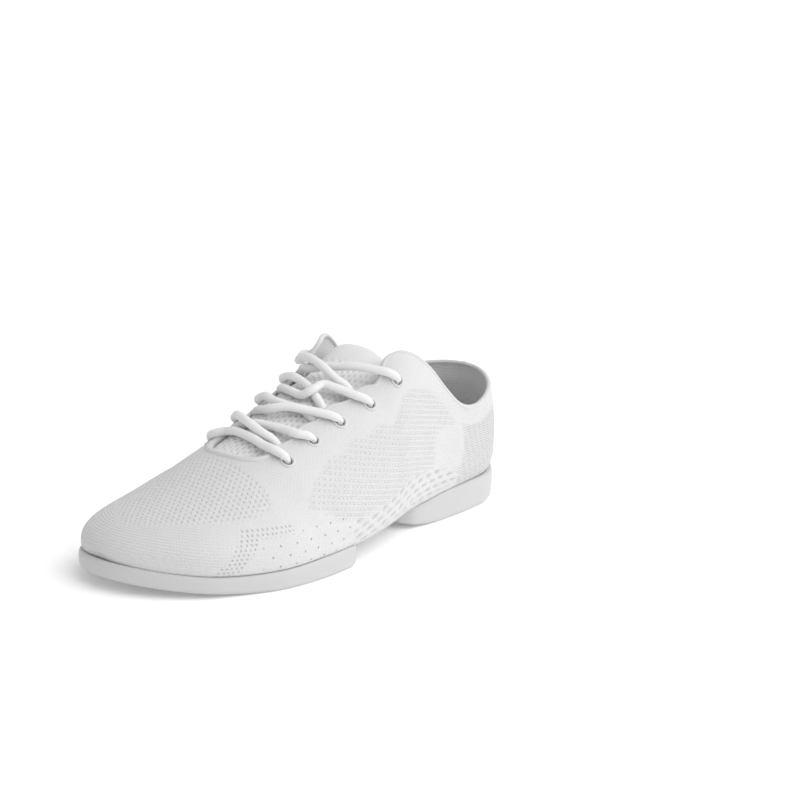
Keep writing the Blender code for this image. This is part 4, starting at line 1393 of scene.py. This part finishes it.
def make_stage(settings):
    """The floor, the light and the camera."""
    deselect()
    bpy.ops.mesh.primitive_plane_add(size=FLOOR_SIZE, location=(0, 0, 0))
    floor = bpy.context.object
    floor.name = "floor"
    shader = Shader("pale_floor", (settings.floor,) * 3, 0.9)
    shader.principled.inputs["Specular IOR Level"].default_value = 0.0
    dim = shader.times(shader.noise(40.0), 0.02)
    shader.blend(dim, (settings.floor,) * 3, (0.8,) * 3)
    floor.data.materials.append(shader.material)
    # The floor glows though it is no lamp: painted light that lifts the shadows on it.
    shader.principled.inputs["Emission Color"].default_value = (1.0, 1.0, 1.0, 1.0)
    shader.principled.inputs["Emission Strength"].default_value = settings.glow
    world = bpy.data.worlds.new("studio")
    world.use_nodes = True
    sky = world.node_tree.nodes["Background"]
    sky.inputs["Color"].default_value = (1.0, 1.0, 1.0, 1.0)
    sky.inputs["Strength"].default_value = settings.sky
    bpy.context.scene.world = world
    bpy.ops.object.light_add(type="SUN", location=KEY_PLACE)
    light = bpy.context.object
    light.name = "key"
    light.data.energy = settings.key
    light.data.angle = KEY_SOFTNESS
    light.rotation_euler = light.location.to_track_quat("Z", "Y").to_euler()
    bpy.ops.object.camera_add()
    camera = bpy.context.object
    turn = Matrix(CAMERA_AXES).transposed().to_4x4()
    turn.translation = CAMERA_PLACE
    camera.matrix_world = turn
    camera.data.sensor_width = SENSOR
    camera.data.lens = LENS
    bpy.context.scene.camera = camera
    view = bpy.context.scene.view_settings
    view.view_transform = "Standard"
    view.look = "None"
    view.exposure = 0.0


SETTINGS = (
    ("sneaker_knit", KnitSettings, "Knit"),
    ("sneaker_sole", SoleSettings, "Soles"),
    ("sneaker_lace", LaceSettings, "Lace"),
    ("sneaker_lining", LiningSettings, "Lining"),
    ("sneaker_stage", StageSettings, "Stage"),
)


def operator(word, pieces, settings, *makers):
    """The operator that makes these pieces with these settings."""

    def execute(self, context):
        for make in makers:
            make(getattr(context.scene, settings))
        return {"FINISHED"}

    parts = {
        "__doc__": f"Build {pieces}",
        "bl_idname": f"sneaker.{word}",
        "bl_label": f"Build {word}",
        "execute": execute,
    }
    return type(f"SNEAKER_OT_{word}", (bpy.types.Operator,), parts)


OPERATORS = (
    operator("knit", "the upper, its edge and its rings", "sneaker_knit",
             make_knit, make_rim, make_eyelets),
    operator("inside", "the lining and the footbed", "sneaker_lining", make_lining, make_insole),
    operator("tongue", "the padded tongue", "sneaker_knit", make_tongue),
    operator("soles", "the two soles and the strip between them", "sneaker_sole",
             make_soles, make_arch_strip),
    operator("laces", "the lace, from the front bar to the top eyelets", "sneaker_lace",
             make_laces),
    operator("stage", "the floor, the light and the camera", "sneaker_stage", make_stage),
)


class SNEAKER_PT_panel(bpy.types.Panel):
    """The sneaker's settings and the buttons that build it"""

    bl_idname = "SNEAKER_PT_panel"
    bl_label = "Dance Sneaker"
    bl_space_type = "VIEW_3D"
    bl_region_type = "UI"
    bl_category = "Sneaker"

    def draw(self, context):
        for name, kind, title in SETTINGS:
            box = self.layout.box()
            box.label(text=title)
            for setting in kind.__annotations__:
                box.prop(getattr(context.scene, name), setting)
        for operator in OPERATORS:
            self.layout.operator(operator.bl_idname)


def register():
    for name, kind, _ in SETTINGS:
        bpy.utils.register_class(kind)
        setattr(bpy.types.Scene, name, bpy.props.PointerProperty(type=kind))
    for kind in (*OPERATORS, SNEAKER_PT_panel):
        bpy.utils.register_class(kind)


def unregister():
    for kind in (SNEAKER_PT_panel, *OPERATORS):
        bpy.utils.unregister_class(kind)
    for name, kind, _ in SETTINGS:
        delattr(bpy.types.Scene, name)
        bpy.utils.unregister_class(kind)


def main():
    register()
    bpy.ops.sneaker.stage()
    bpy.ops.sneaker.knit()
    bpy.ops.sneaker.inside()
    bpy.ops.sneaker.tongue()
    bpy.ops.sneaker.soles()
    bpy.ops.sneaker.laces()
    deselect()


if __name__ == "__main__":
    main()
